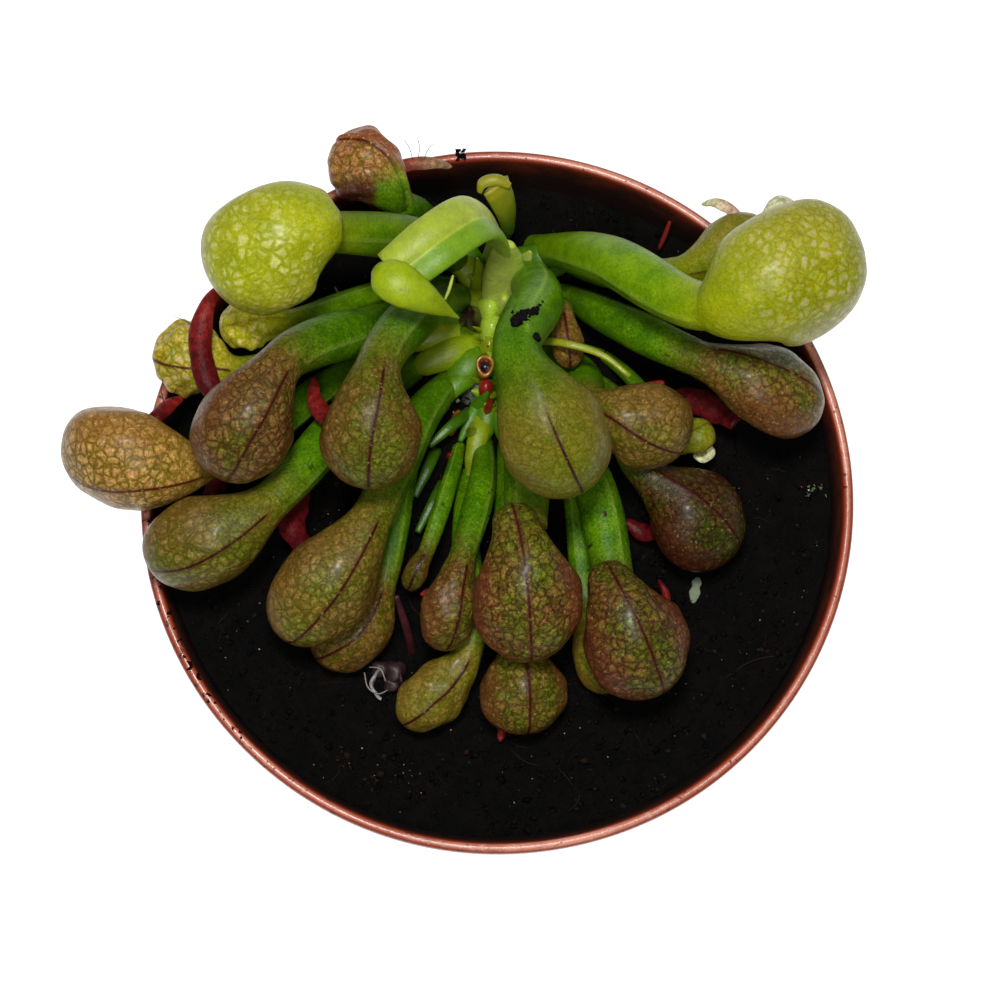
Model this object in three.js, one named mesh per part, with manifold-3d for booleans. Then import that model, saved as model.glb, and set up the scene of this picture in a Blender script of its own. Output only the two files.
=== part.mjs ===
// Potted pitcher plant: a young hooded pitcher plant in a round plastic nursery pot.
// Millimetres, +Z up. The origin is the middle of the pot's base, on the floor. +Y is the back.

import * as THREE from "three";
import { mergeVertices } from "three/addons/utils/BufferGeometryUtils.js";
import Module from "manifold-3d";

const wasm = await Module();
wasm.setup();

// Pot
const POT_HEIGHT = 105;
const RIM_RADIUS = 60;
const BASE_RADIUS = 42.5;
const WALL = 1.1;
const FLOOR_THICKNESS = 1.8;
const LIP_WIDTH = 2;
const SKIRT_DEPTH = 6;
const SKIRT_THICKNESS = 0.8;
const POT_SEGMENTS = 52;
const DRAIN_HOLES = 6;
const DRAIN_HOLE_RADIUS = 3.5;
const DRAIN_CIRCLE = 31;

// Soil
const FIT_GAP = 0.4;
const BED_GAP = 0.8;
const SOIL_LEVEL = 97.3;
const SOIL_RINGS = 7;
const SOIL_SEGMENTS = 32;
const SOIL_BUMP = 0.7;

// Crown, the short rootstock that all leaves grow from
const CROWN = { x: -0.5, y: 29, top: 98, depth: 9, halfWidth: 8, halfLength: 15 };
const ROOT_COUNT = 6;
const ROOT_LENGTH = 42;

// Leaves
const LEAF_FOOT = 92;
const SOCKET_TOP = 100;
const BASE_TAPER = 0.48;
const NECK_PINCH = 0.86;
const HOOD_FLATNESS = 0.82;
const WIDEST = 0.58;
const SHOULDER = 0.78;
const KEEL_HEIGHT = 0.06;
const WING_HEIGHT = 0.28;
const TONGUE_THICKNESS = 0.8;

// Each pitcher: foot, knee of the tube, neck, top of the hood, front of the hood, then half widths,
// the turn of the hood about its own length in degrees, and the tips of its forked tongue. Where a
// heel is given, the hood's narrow end starts there and lies over the top of the tube.
const PITCHERS = [
  { name: "pitcher_left_high", foot: [-5.5, 42.5], knee: [-13, 40.5, 119], neck: [-29, 38.5, 132],
    heel: [-26.5, 40.5, 135], crest: [-35, 36.5, 137.5], front: [-45.5, 28.5, 131], tube: 3.9, hood: 10,
    roll: -20, tips: [] },
  { name: "pitcher_left_under", foot: [-12, 41], knee: [-22, 34.5, 104], neck: [-35, 28, 112.5],
    crest: [-40, 27.5, 113.5], front: [-46.5, 27, 111], tube: 2.4, hood: 4.2, roll: 0, tips: [] },
  { name: "pitcher_left_rim", foot: [-13.5, 36], knee: [-28.5, 25, 105], neck: [-43.5, 19.5, 113],
    crest: [-49, 20.5, 114], front: [-57, 23.5, 111], tube: 2.8, hood: 6.3, roll: -20, tips: [] },
  { name: "pitcher_left_far", foot: [-13.5, 31.5], knee: [-29, 19, 103], neck: [-47, 4, 114],
    crest: [-58, 2.9, 116.5], front: [-71.5, 8.3, 112], tube: 3.2, hood: 9.4, roll: -45,
    tips: [[-57.5, 13, 117], [-53, 9, 116]] },
  { name: "pitcher_left_mid", foot: [-9, 36], knee: [-21, 27, 113], neck: [-35, 18, 130],
    crest: [-40, 10, 130.5], front: [-45.5, -0.5, 124], tube: 4.3, hood: 8.2, roll: -32,
    tips: [[-47, 29.5, 122]] },
  { name: "pitcher_left_low", foot: [-10, 27.5], knee: [-25, 13, 108], neck: [-37, -2.5, 117],
    crest: [-45.5, -8.5, 116.5], front: [-58, -12.5, 112], tube: 3.9, hood: 8, roll: -28,
    tips: [[-47.5, -0.5, 114], [-44, -0.5, 114]] },
  { name: "pitcher_front_left", foot: [-5.5, 24.5], knee: [-13.5, 12.5, 107], neck: [-20, -3.5, 117],
    crest: [-24.5, -11.5, 117.5], front: [-35.5, -25, 110.5], tube: 3.9, hood: 8.1, roll: -25,
    tips: [[-33.5, -3, 110.5], [-30, -1.5, 111]] },
  { name: "pitcher_centre_left", foot: [-4.5, 37], knee: [-12.5, 29, 119], neck: [-20, 16.5, 134],
    crest: [-21, 8.5, 135], front: [-21.5, -2.5, 128], tube: 4.2, hood: 8.1, roll: -12,
    tips: [[-31, 15.5, 123], [-33.5, 17, 124]] },
  { name: "pitcher_centre", foot: [3, 42], knee: [6, 30, 122], neck: [2, 18, 137],
    crest: [5, 10, 138], front: [12.5, -3.5, 130], tube: 4.6, hood: 8.9, roll: -3, tips: [] },
  { name: "pitcher_right_inner", foot: [6.5, 29.5], knee: [13.5, 20.5, 108], neck: [15, 13, 120],
    crest: [19.5, 10.5, 122], front: [30.5, 7.5, 117], tube: 3.4, hood: 7.6, roll: 25,
    tips: [[27, 17, 118]] },
  { name: "pitcher_right_rim", foot: [10.5, 38.5], knee: [19, 29.5, 110], neck: [32, 21, 119],
    crest: [39.5, 18, 119.5], front: [53, 13, 112], tube: 3.6, hood: 7.7, roll: -30,
    tips: [[32.5, 16, 106], [35.5, 13.5, 105]] },
  { name: "pitcher_right_low", foot: [10, 26], knee: [20, 14.5, 106], neck: [23.5, 4, 111],
    crest: [30, -1.5, 109.5], front: [39, -9.5, 103.5], tube: 3.4, hood: 8.5, roll: -20,
    tips: [[20, 0.5, 101], [22.5, -3.5, 101]] },
  { name: "pitcher_right_high", foot: [6, 46], knee: [18, 36.5, 122], neck: [32.5, 25.5, 137],
    crest: [41.5, 28.5, 140.5], front: [56.5, 35, 134], tube: 4.6, hood: 11.8, roll: 28,
    tips: [[42, 44, 136]] },
  { name: "pitcher_right_under", foot: [10, 44], knee: [20, 37.5, 108], neck: [29.5, 35.5, 119],
    crest: [36, 37.5, 120.5], front: [44, 43, 117], tube: 2.9, hood: 6.2, roll: 35,
    tips: [[33.5, 46.5, 120], [35.5, 45.5, 118]] },
  { name: "pitcher_back_left", foot: [-9, 48], knee: [-13.5, 47.5, 108], neck: [-17, 47.5, 117],
    crest: [-20.8, 51.3, 119], front: [-27.2, 57.3, 116], tube: 3, hood: 6.3, roll: -20,
    tips: [[-8, 55, 113], [-20.5, 46.5, 112]] },
  { name: "pitcher_front_mid", foot: [1, 26], knee: [4.5, 6.5, 112], neck: [4, -7, 117.5],
    heel: [1.5, -4, 120.5], crest: [3.5, -13.5, 121], front: [5, -28.5, 112.5], tube: 4.2, hood: 9,
    roll: 0, tips: [] },
  { name: "pitcher_front_right", foot: [5, 20.5], knee: [15.5, 2, 109], neck: [19, -16, 113],
    heel: [16.5, -13, 116.5], crest: [20, -21, 117], front: [26, -33.5, 109], tube: 3.9, hood: 8.8,
    roll: -8, tips: [[26, -16, 112]] },
  { name: "pitcher_front_small", foot: [-2, 14], knee: [-3, 0.5, 108], neck: [-6, -11, 113],
    crest: [-7.5, -17, 113], front: [-9.5, -26.5, 108.5], tube: 2.6, hood: 4.9, roll: -25,
    tips: [[-13, -17.5, 110]] },
  { name: "pitcher_front_low_left", foot: [-4.5, 10.5], knee: [-5.5, -7, 104], neck: [-4.5, -25, 104.5],
    crest: [-8.5, -31, 102.5], front: [-16, -38, 101], tube: 2.6, hood: 5.1, roll: -15,
    tips: [[-12.5, -31, 100]] },
  { name: "pitcher_front_low", foot: [2, 16], knee: [1.8, -3, 104], neck: [3.5, -23, 105.5],
    crest: [4, -29.5, 104.5], front: [4.5, -39.5, 100.8], tube: 2.8, hood: 7.4, roll: -8,
    tips: [[0.5, -40.5, 97.5]] },
  { name: "pitcher_front_hidden", foot: [-9.5, 21.5], knee: [-15.5, 5.5, 103], neck: [-19, -14, 104],
    crest: [-22.5, -21.5, 103], front: [-30.5, -27, 101], tube: 2.6, hood: 5.7, roll: -10, tips: [] },
  { name: "pitcher_front_slim", foot: [11.5, 12], knee: [13, 0.5, 101.6], neck: [15, -18, 103],
    crest: [16.5, -24.5, 102], front: [19, -32.5, 99.5], tube: 2.4, hood: 4.6, roll: 0, tips: [] },
  { name: "pitcher_right_tiny", foot: [15.5, 29.5], knee: [24, 19, 103], neck: [29.5, 8.5, 105],
    crest: [32, 9.5, 105.5], front: [36, 12, 106], tube: 1.5, hood: 3.2, roll: 0, tips: [] },
  { name: "pitcher_centre_slim", foot: [9, 33.5], knee: [10.5, 31.5, 109], neck: [10.5, 29, 116],
    crest: [11, 24, 117.5], front: [11.5, 19.5, 116.5], tube: 1.9, hood: 2.7, roll: 0, tips: [] },
  { name: "pitcher_juvenile", foot: [-5.5, 14.5], knee: [-8, 3, 103], neck: [-12, -9.5, 106],
    crest: [-13.5, -12.5, 106], front: [-15, -16, 104.5], tube: 1.6, hood: 2, roll: 0, tips: [] },
];

// Thin first leaves, as routes from the foot to the tip, with the half width in the middle
const SLIM_LEAVES = [
  { name: "strand_right", route: [[1.5, 30, 92], [4.5, 24.5, 114], [10, 22.5, 122.5], [16.5, 20.5, 122.5],
    [21, 17, 122.5]], width: 0.7 },
  { name: "first_leaf_1", route: [[-3, 18, 92], [-7.2, 13, 102], [-11.6, 9, 102.5]], width: 1 },
  { name: "first_leaf_2", route: [[-9.5, 12, 92], [-11.5, 6, 101], [-14, 0.5, 101]], width: 1 },
  { name: "first_leaf_3", route: [[-8, 6.5, 92], [-10.5, 0.5, 100.5], [-13.5, -5.5, 100.5]], width: 0.9 },
  { name: "first_leaf_4", route: [[-10, -4, 92], [-11.5, -8, 99.5], [-14, -12.5, 100.5]], width: 0.9 },
  { name: "dried_spike", route: [[-14, -27, 92], [-15, -23, 102], [-17, -17.5, 108.5]], width: 0.7 },
];

const COLOUR = {
  pot: 0x9c4630,
  soil: 0x171310,
  crown: 0x8a8f4c,
  mature: 0x6d6a36,
  young: 0xa7bb2d,
  slim: 0x5f9a2a,
  dried: 0x5a3038,
};

const vec = (p) => new THREE.Vector3(p[0], p[1], p[2]);

// A closed solid from a geometry whose corners are shared
function solidOf(geometry) {
  geometry.deleteAttribute("normal");
  geometry.deleteAttribute("uv");
  const merged = mergeVertices(geometry, 1e-4);
  const mesh = new wasm.Mesh({
    numProp: 3,
    vertProperties: new Float32Array(merged.attributes.position.array),
    triVerts: new Uint32Array(merged.index.array),
  });
  return new wasm.Manifold(mesh);
}

// The largest piece of a solid, without scraps that a cut left loose
function mainPiece(solid) {
  const pieces = solid.decompose();
  return pieces.reduce((best, piece) => (piece.volume() > best.volume() ? piece : best));
}

function geometryOf(solid) {
  const mesh = solid.getMesh();
  const geometry = new THREE.BufferGeometry();
  geometry.setAttribute("position", new THREE.BufferAttribute(mesh.vertProperties, 3));
  geometry.setIndex(new THREE.BufferAttribute(mesh.triVerts, 1));
  geometry.computeVertexNormals();
  return geometry;
}

const group = new THREE.Group();

function addNode(name, geometry, colour, roughness) {
  const material = new THREE.MeshStandardMaterial({ color: colour, roughness, metalness: 0 });
  const mesh = new THREE.Mesh(geometry, material);
  mesh.name = name;
  group.add(mesh);
}

// A closed body through rings of points of equal count, its ends closed round a middle point
function loftGeometry(rings, startPoint, endPoint) {
  const count = rings[0].length;
  const positions = [];
  for (const ring of rings) {
    for (const point of ring) positions.push(point.x, point.y, point.z);
  }
  const start = rings.length * count;
  positions.push(startPoint.x, startPoint.y, startPoint.z);
  positions.push(endPoint.x, endPoint.y, endPoint.z);
  const index = [];
  for (let i = 0; i < count; i++) {
    const j = (i + 1) % count;
    for (let r = 0; r < rings.length - 1; r++) {
      const low = r * count;
      const high = low + count;
      index.push(low + i, low + j, high + j, low + i, high + j, high + i);
    }
    const last = (rings.length - 1) * count;
    index.push(start, j, i);
    index.push(start + 1, last + i, last + j);
  }
  const geometry = new THREE.BufferGeometry();
  geometry.setAttribute("position", new THREE.Float32BufferAttribute(positions, 3));
  geometry.setIndex(index);
  return geometry;
}

// Side and back directions at a place on a route, kept level with the route's overall heading
function frameAt(curve, at, side, roll) {
  const centre = curve.getPointAt(at);
  const tangent = curve.getTangentAt(at);
  const across = side.clone().addScaledVector(tangent, -side.dot(tangent)).normalize();
  const back = new THREE.Vector3().crossVectors(across, tangent).normalize();
  const turnedBack = back.clone().multiplyScalar(Math.cos(roll)).addScaledVector(across, Math.sin(roll));
  const turnedSide = across.clone().multiplyScalar(Math.cos(roll)).addScaledVector(back, -Math.sin(roll));
  return { centre, tangent, across: turnedSide, back: turnedBack };
}

function headingSide(from, to) {
  const heading = to.clone().sub(from).setZ(0).normalize();
  return new THREE.Vector3(heading.y, -heading.x, 0);
}

// One ring round a place: halfWidth across, halfHeight to the back, and a reach for each angle
function ringAt(frame, halfWidth, halfHeight, sides, reach) {
  const ring = [];
  for (let i = 0; i < sides; i++) {
    const angle = (i / sides) * Math.PI * 2;
    const far = reach ? reach(angle) : 1;
    const point = frame.centre.clone();
    point.addScaledVector(frame.across, Math.cos(angle) * halfWidth * far);
    point.addScaledVector(frame.back, Math.sin(angle) * halfHeight * far);
    ring.push(point);
  }
  return ring.reverse();
}

const smooth = (x) => x * x * (3 - 2 * x);

// Half width of a pitcher's hood from its neck or heel, 0, to its front, 1
function hoodWidth(pitcher, v) {
  const neck = pitcher.tube * NECK_PINCH;
  const heelEnd = 0.1;
  if (pitcher.heel && v < heelEnd) return neck * Math.sqrt(Math.max(0.04, 1 - (1 - v / heelEnd) ** 2));
  if (v < WIDEST) return neck + (pitcher.hood - neck) * smooth(v / WIDEST) ** SHOULDER;
  return pitcher.hood * Math.sqrt(Math.max(0, 1 - ((v - WIDEST) / (1 - WIDEST)) ** 2));
}

// Half width of a pitcher's tube from its foot, 0, to its neck, 1
function tubeWidth(pitcher, w) {
  const foot = pitcher.tube * BASE_TAPER;
  const full = foot + (pitcher.tube - foot) * Math.sin((w * Math.PI) / 2);
  const pinch = 1 - (1 - NECK_PINCH) * smooth(Math.max(0, (w - 0.7) / 0.3));
  return full * pinch;
}

// The route of the tube and the route of the hood, which is the same one unless there is a heel
function pitcherRoute(pitcher) {
  const foot = vec([...pitcher.foot, LEAF_FOOT]);
  const points = [foot, vec(pitcher.knee), vec(pitcher.neck), vec(pitcher.crest), vec(pitcher.front)];
  const curve = new THREE.CatmullRomCurve3(points);
  const lengths = curve.getLengths(200);
  const neckAt = lengths[100] / lengths[200];
  const side = headingSide(foot, vec(pitcher.front));
  if (!pitcher.heel) return { curve, neckAt, side, hoodCurve: curve, hoodFrom: neckAt };
  const hoodCurve = new THREE.CatmullRomCurve3([vec(pitcher.heel), vec(pitcher.crest), vec(pitcher.front)]);
  return { curve, neckAt, side, hoodCurve, hoodFrom: 0 };
}

// Frame of the hood at a share of its length
function hoodFrame(pitcher, v) {
  const { side, hoodCurve, hoodFrom } = pitcherRoute(pitcher);
  return frameAt(hoodCurve, hoodFrom + v * (1 - hoodFrom), side, THREE.MathUtils.degToRad(pitcher.roll));
}

// A pitcher's section reaches out at the back into a keel on the hood, in front into the tube's wing
function sectionReach(keel, wing) {
  return (angle) => {
    const toBack = Math.max(0, Math.sin(angle));
    const toFront = Math.max(0, -Math.sin(angle));
    return 1 + keel * toBack ** 24 + wing * toFront ** 24;
  };
}

const isSmall = (pitcher) => pitcher.hood < 6;

// Places of the tube's rings, from the foot, 0, to the neck, 1
function tubeStations(pitcher) {
  const steps = isSmall(pitcher) ? 4 : 5;
  return Array.from({ length: pitcher.heel ? steps + 1 : steps }, (unused, i) => i / steps);
}

function pitcherBody(pitcher) {
  const { curve, neckAt, side, hoodCurve } = pitcherRoute(pitcher);
  const turn = THREE.MathUtils.degToRad(pitcher.roll);
  const small = isSmall(pitcher);
  const sides = small ? 8 : 12;
  const tubeRings = tubeStations(pitcher).map((w) => {
    const halfWidth = tubeWidth(pitcher, w);
    const frame = frameAt(curve, w * neckAt, side, turn * w);
    const wing = WING_HEIGHT * Math.sin(Math.max(0, (w - 0.2) / 0.8) * Math.PI);
    return ringAt(frame, halfWidth, halfWidth, sides, sectionReach(0, wing));
  });
  const spread = small ? [0, 0.2, 0.4] : [0, 0.14, 0.28, 0.43];
  if (pitcher.heel) spread.splice(1, 0, 0.06);
  const closing = small ? [0, 38, 65] : [0, 32, 56, 76];
  const stations = [...spread];
  for (const degrees of closing) {
    stations.push(WIDEST + (1 - WIDEST) * Math.sin(THREE.MathUtils.degToRad(degrees)));
  }
  const hoodRings = stations.map((v) => {
    const halfWidth = hoodWidth(pitcher, v);
    const flatness = 1 - (1 - HOOD_FLATNESS) * smooth(Math.min(1, v / WIDEST));
    return ringAt(hoodFrame(pitcher, v), halfWidth, halfWidth * flatness, sides, sectionReach(KEEL_HEIGHT, 0));
  });
  const footPoint = curve.getPointAt(0);
  const frontPoint = hoodCurve.getPointAt(1);
  if (!pitcher.heel) return solidOf(loftGeometry([...tubeRings, ...hoodRings], footPoint, frontPoint));
  const tube = solidOf(loftGeometry(tubeRings, footPoint, curve.getPointAt(neckAt)));
  return tube.add(solidOf(loftGeometry(hoodRings, hoodCurve.getPointAt(0), frontPoint)));
}

// The mouth is a hollow on the under side, just past the neck
function mouthHollow(pitcher) {
  const v = pitcher.heel ? 0.36 : 0.22;
  const frame = hoodFrame(pitcher, v);
  const halfWidth = hoodWidth(pitcher, v);
  const centre = frame.centre.clone().addScaledVector(frame.back, -halfWidth);
  const shape = new THREE.SphereGeometry(1, 6, 4);
  const basis = new THREE.Matrix4().makeBasis(
    frame.across.clone().multiplyScalar(halfWidth * 0.6),
    frame.tangent.clone().multiplyScalar(pitcher.hood * 0.34),
    new THREE.Vector3().crossVectors(frame.across, frame.tangent).multiplyScalar(halfWidth * 0.62),
  );
  basis.setPosition(centre);
  shape.applyMatrix4(basis);
  return solidOf(shape);
}

// A flat, tapered blade from one point to another, bent towards a third
function bladeSolid(points, widths, thickness, faceNormal) {
  const curve = new THREE.CatmullRomCurve3(points);
  const rings = widths.map((width, i) => {
    const at = i / (widths.length - 1);
    const tangent = curve.getTangentAt(at);
    const across = new THREE.Vector3().crossVectors(faceNormal, tangent).normalize();
    const normal = new THREE.Vector3().crossVectors(tangent, across).normalize();
    const centre = curve.getPointAt(at);
    const corners = [[1, 1], [1, -1], [-1, -1], [-1, 1]];
    return corners.map(([a, n]) => {
      const corner = centre.clone().addScaledVector(across, (a * width) / 2);
      return corner.addScaledVector(normal, (n * thickness) / 2);
    });
  });
  return solidOf(loftGeometry(rings.map((ring) => ring.reverse()), curve.getPointAt(0), curve.getPointAt(1)));
}

// The forked tongue hangs from the far lip of the mouth
function tongueSolids(pitcher) {
  const v = pitcher.heel ? 0.5 : 0.42;
  const frame = hoodFrame(pitcher, v);
  const depth = hoodWidth(pitcher, v) * HOOD_FLATNESS;
  const lip = frame.centre.clone().addScaledVector(frame.back, -depth * 0.75);
  const wide = Math.min(2.6, pitcher.hood * 0.3);
  return pitcher.tips.map((tip) => {
    const end = vec(tip);
    const middle = lip.clone().lerp(end, 0.5).addScaledVector(frame.back, -pitcher.hood * 0.22);
    const faceNormal = frame.back.clone().addScaledVector(frame.tangent, 0.4).normalize();
    return bladeSolid([lip, middle, end], [wide, wide * 1.3, wide, 0.7], TONGUE_THICKNESS, faceNormal);
  });
}

function pitcherSolid(pitcher) {
  let solid = pitcherBody(pitcher);
  if (pitcher.hood > 3) solid = solid.subtract(mouthHollow(pitcher));
  for (const blade of tongueSolids(pitcher)) solid = solid.add(blade);
  return mainPiece(solid);
}

// A plug round the buried foot of a leaf, larger than it by the fit gap, to cut its hole. Its rings
// lie where the leaf's own rings lie.
function socketSolid(curve, side, stations, widths) {
  const sides = 6;
  const rings = [];
  for (let i = 0, height = 0; height < SOCKET_TOP; i++) {
    const frame = frameAt(curve, stations[i], side, 0);
    height = frame.centre.z;
    if (i === 0) frame.centre.addScaledVector(frame.tangent, -FIT_GAP);
    const halfWidth = (widths[i] + FIT_GAP) / Math.cos(Math.PI / sides);
    rings.push(ringAt(frame, halfWidth, halfWidth, sides));
  }
  const middleOf = (ring) => ring[0].clone().lerp(ring[sides / 2], 0.5);
  return solidOf(loftGeometry(rings, middleOf(rings[0]), middleOf(rings[rings.length - 1])));
}

function pitcherSocket(pitcher) {
  const { curve, neckAt, side } = pitcherRoute(pitcher);
  const shares = tubeStations(pitcher);
  return socketSolid(curve, side, shares.map((w) => w * neckAt), shares.map((w) => tubeWidth(pitcher, w)));
}

function slimSolid(route, widths, sides) {
  const points = route.map(vec);
  const curve = new THREE.CatmullRomCurve3(points);
  const side = headingSide(points[0], points[points.length - 1]);
  const rings = widths.map((width, i) => {
    const frame = frameAt(curve, i / (widths.length - 1), side, 0);
    return ringAt(frame, width, width * 0.8, sides);
  });
  return solidOf(loftGeometry(rings, curve.getPointAt(0), curve.getPointAt(1)));
}

// Half widths along a thin leaf: slender at the foot, full in the middle, pointed at the tip
function slimWidths(width) {
  return [0.8, 0.95, 1, 1, 0.95, 0.8, 0.55].map((share) => share * width);
}

function slimSocket(route, widths) {
  const curve = new THREE.CatmullRomCurve3(route.map(vec));
  const side = headingSide(vec(route[0]), vec(route[route.length - 1]));
  return socketSolid(curve, side, widths.map((width, i) => i / (widths.length - 1)), widths);
}

// The newest leaf: a folded, still flat tube whose pointed hood is bent back under it
const NEW_LEAF = {
  stalk: [[-1.5, 42.5, 92], [-0.5, 40.5, 118], [-5.5, 40.5, 136], [-11.5, 35.5, 140.5], [-17, 31, 141]],
  stalkWidths: [1.6, 1.8, 2.1, 2.8, 3.6, 4.2, 4.3, 3.6],
  beak: [[-18.5, 29, 140], [-15, 27.5, 137.5], [-8, 24, 134]],
  beakWidths: [2.4, 3.8, 3.9, 2.9, 1.6, 0.4],
  thickness: 0.55,
};

function newLeafSolid() {
  const stalk = NEW_LEAF.stalk.map(vec);
  const beak = NEW_LEAF.beak.map(vec);
  const parts = [[stalk, NEW_LEAF.stalkWidths], [beak, NEW_LEAF.beakWidths]].map(([points, widths]) => {
    const curve = new THREE.CatmullRomCurve3(points);
    const side = headingSide(points[0], points[points.length - 1]);
    const rings = widths.map((width, i) => {
      const frame = frameAt(curve, i / (widths.length - 1), side, 0);
      return ringAt(frame, width, width * NEW_LEAF.thickness, 8);
    });
    return solidOf(loftGeometry(rings, curve.getPointAt(0), curve.getPointAt(1)));
  });
  return parts[0].add(parts[1]);
}

// A short young tube with an open lip that curls to the left
const YOUNG_TUBE = {
  route: [[1.5, 47.5, 92], [1.5, 46, 106], [0.5, 48, 116], [-2.5, 49.5, 119.5]],
  widths: [1.4, 1.6, 1.8, 2, 2.1, 2.2, 2.4, 1.2],
};

// A dried, curled scrap of an old leaf that stands in the soil
const DRIED_CURL = { x: -18.5, y: -31, radius: 2, foot: 93.5, top: 99.5, turn: 250, thickness: 0.8 };

function driedCurlSolid() {
  const steps = 9;
  const rings = [];
  for (let i = 0; i <= steps; i++) {
    const angle = THREE.MathUtils.degToRad((DRIED_CURL.turn * i) / steps);
    const top = DRIED_CURL.top - 2 * (i / steps);
    const corner = (radius, z) =>
      new THREE.Vector3(DRIED_CURL.x + Math.cos(angle) * radius, DRIED_CURL.y + Math.sin(angle) * radius, z);
    const outer = DRIED_CURL.radius + DRIED_CURL.thickness / 2;
    const inner = DRIED_CURL.radius - DRIED_CURL.thickness / 2;
    const foot = DRIED_CURL.foot;
    rings.push([corner(inner, foot), corner(outer, foot), corner(outer + 0.6, top), corner(inner + 0.6, top)]);
  }
  const middle = (ring) => ring[0].clone().lerp(ring[2], 0.5);
  const closed = rings.map((ring) => ring.reverse());
  return solidOf(loftGeometry(closed, middle(closed[0]), middle(closed[steps])));
}

function driedCurlSocket() {
  const radius = DRIED_CURL.radius + DRIED_CURL.thickness / 2 + 0.6 + FIT_GAP;
  const plug = new THREE.CylinderGeometry(radius, radius, 8, 16);
  plug.rotateX(Math.PI / 2);
  plug.translate(DRIED_CURL.x, DRIED_CURL.y, DRIED_CURL.foot - FIT_GAP + 4);
  return solidOf(plug);
}

const potOuter = (z) => BASE_RADIUS + ((RIM_RADIUS - 1.1 - BASE_RADIUS) * z) / (POT_HEIGHT - 2);

function potSolid() {
  const lipTop = POT_HEIGHT;
  const channelTop = POT_HEIGHT - 2;
  const skirtFoot = POT_HEIGHT - SKIRT_DEPTH;
  const skirtInner = RIM_RADIUS - SKIRT_THICKNESS;
  const innerRim = RIM_RADIUS - LIP_WIDTH;
  const profile = [
    [0, 0],
    [BASE_RADIUS - 1.5, 0],
    [potOuter(1.5), 1.5],
    [potOuter(skirtFoot), skirtFoot],
    [potOuter(channelTop) - 0.25, channelTop],
    [skirtInner - 0.3, channelTop],
    [skirtInner, skirtFoot],
    [RIM_RADIUS, skirtFoot],
    [RIM_RADIUS - 0.2, lipTop - 1],
    [RIM_RADIUS - 0.5, lipTop - 0.3],
    [RIM_RADIUS - 1.1, lipTop],
    [innerRim + 0.3, lipTop - 0.25],
    [innerRim, lipTop - 1],
    [potOuter(lipTop - 4) - WALL, lipTop - 4],
    [potOuter(FLOOR_THICKNESS) - WALL, FLOOR_THICKNESS],
    [0, FLOOR_THICKNESS],
  ];
  const lathe = new THREE.LatheGeometry(profile.map(([r, z]) => new THREE.Vector2(r, z)), POT_SEGMENTS);
  lathe.rotateX(Math.PI / 2);
  let solid = solidOf(lathe);
  for (let i = 0; i < DRAIN_HOLES; i++) {
    const angle = ((i + 0.5) / DRAIN_HOLES) * Math.PI * 2;
    const hole = new THREE.CylinderGeometry(DRAIN_HOLE_RADIUS, DRAIN_HOLE_RADIUS, 6, 12);
    hole.rotateX(Math.PI / 2);
    hole.translate(Math.cos(angle) * DRAIN_CIRCLE, Math.sin(angle) * DRAIN_CIRCLE, FLOOR_THICKNESS / 2);
    solid = solid.subtract(solidOf(hole));
  }
  return solid;
}

// Height of the soil: it falls to the front and to the back, climbs to the sides, and has lumps
function soilHeight(x, y) {
  const fall = 0.0006 * x * x - 0.0012 * y * y;
  const lumps = Math.sin(x * 0.43 + 1.3) * Math.cos(y * 0.37 - 0.6) + 0.6 * Math.sin(x * 0.91 - y * 0.83);
  const fine = 0.5 * Math.sin(x * 1.7 + y * 0.9) * Math.sin(y * 1.9 - x * 0.6);
  return SOIL_LEVEL + fall + SOIL_BUMP * 0.5 * (lumps + fine);
}

function soilBlock() {
  const floor = FLOOR_THICKNESS + FIT_GAP;
  const edgeAt = (z) => (potOuter(z) - WALL - FIT_GAP) * Math.cos(Math.PI / POT_SEGMENTS);
  const ring = (radiusAt, heightAt) => {
    const points = [];
    for (let i = 0; i < SOIL_SEGMENTS; i++) {
      const angle = (i / SOIL_SEGMENTS) * Math.PI * 2;
      const radius = radiusAt(angle);
      const x = Math.cos(angle) * radius;
      const y = Math.sin(angle) * radius;
      points.push(new THREE.Vector3(x, y, heightAt(x, y)));
    }
    return points;
  };
  const nearEdge = edgeAt(SOIL_LEVEL);
  const topEdge = (angle) => edgeAt(soilHeight(Math.cos(angle) * nearEdge, Math.sin(angle) * nearEdge) - 0.5);
  const rings = [ring(() => edgeAt(floor) - 0.3, () => floor), ring(topEdge, soilHeight)];
  for (let r = 1; r < SOIL_RINGS; r++) {
    rings.push(ring((angle) => topEdge(angle) * (1 - r / SOIL_RINGS), soilHeight));
  }
  const bottom = new THREE.Vector3(0, 0, floor);
  const top = new THREE.Vector3(0, 0, soilHeight(0, 0));
  return solidOf(loftGeometry(rings, bottom, top));
}

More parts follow.
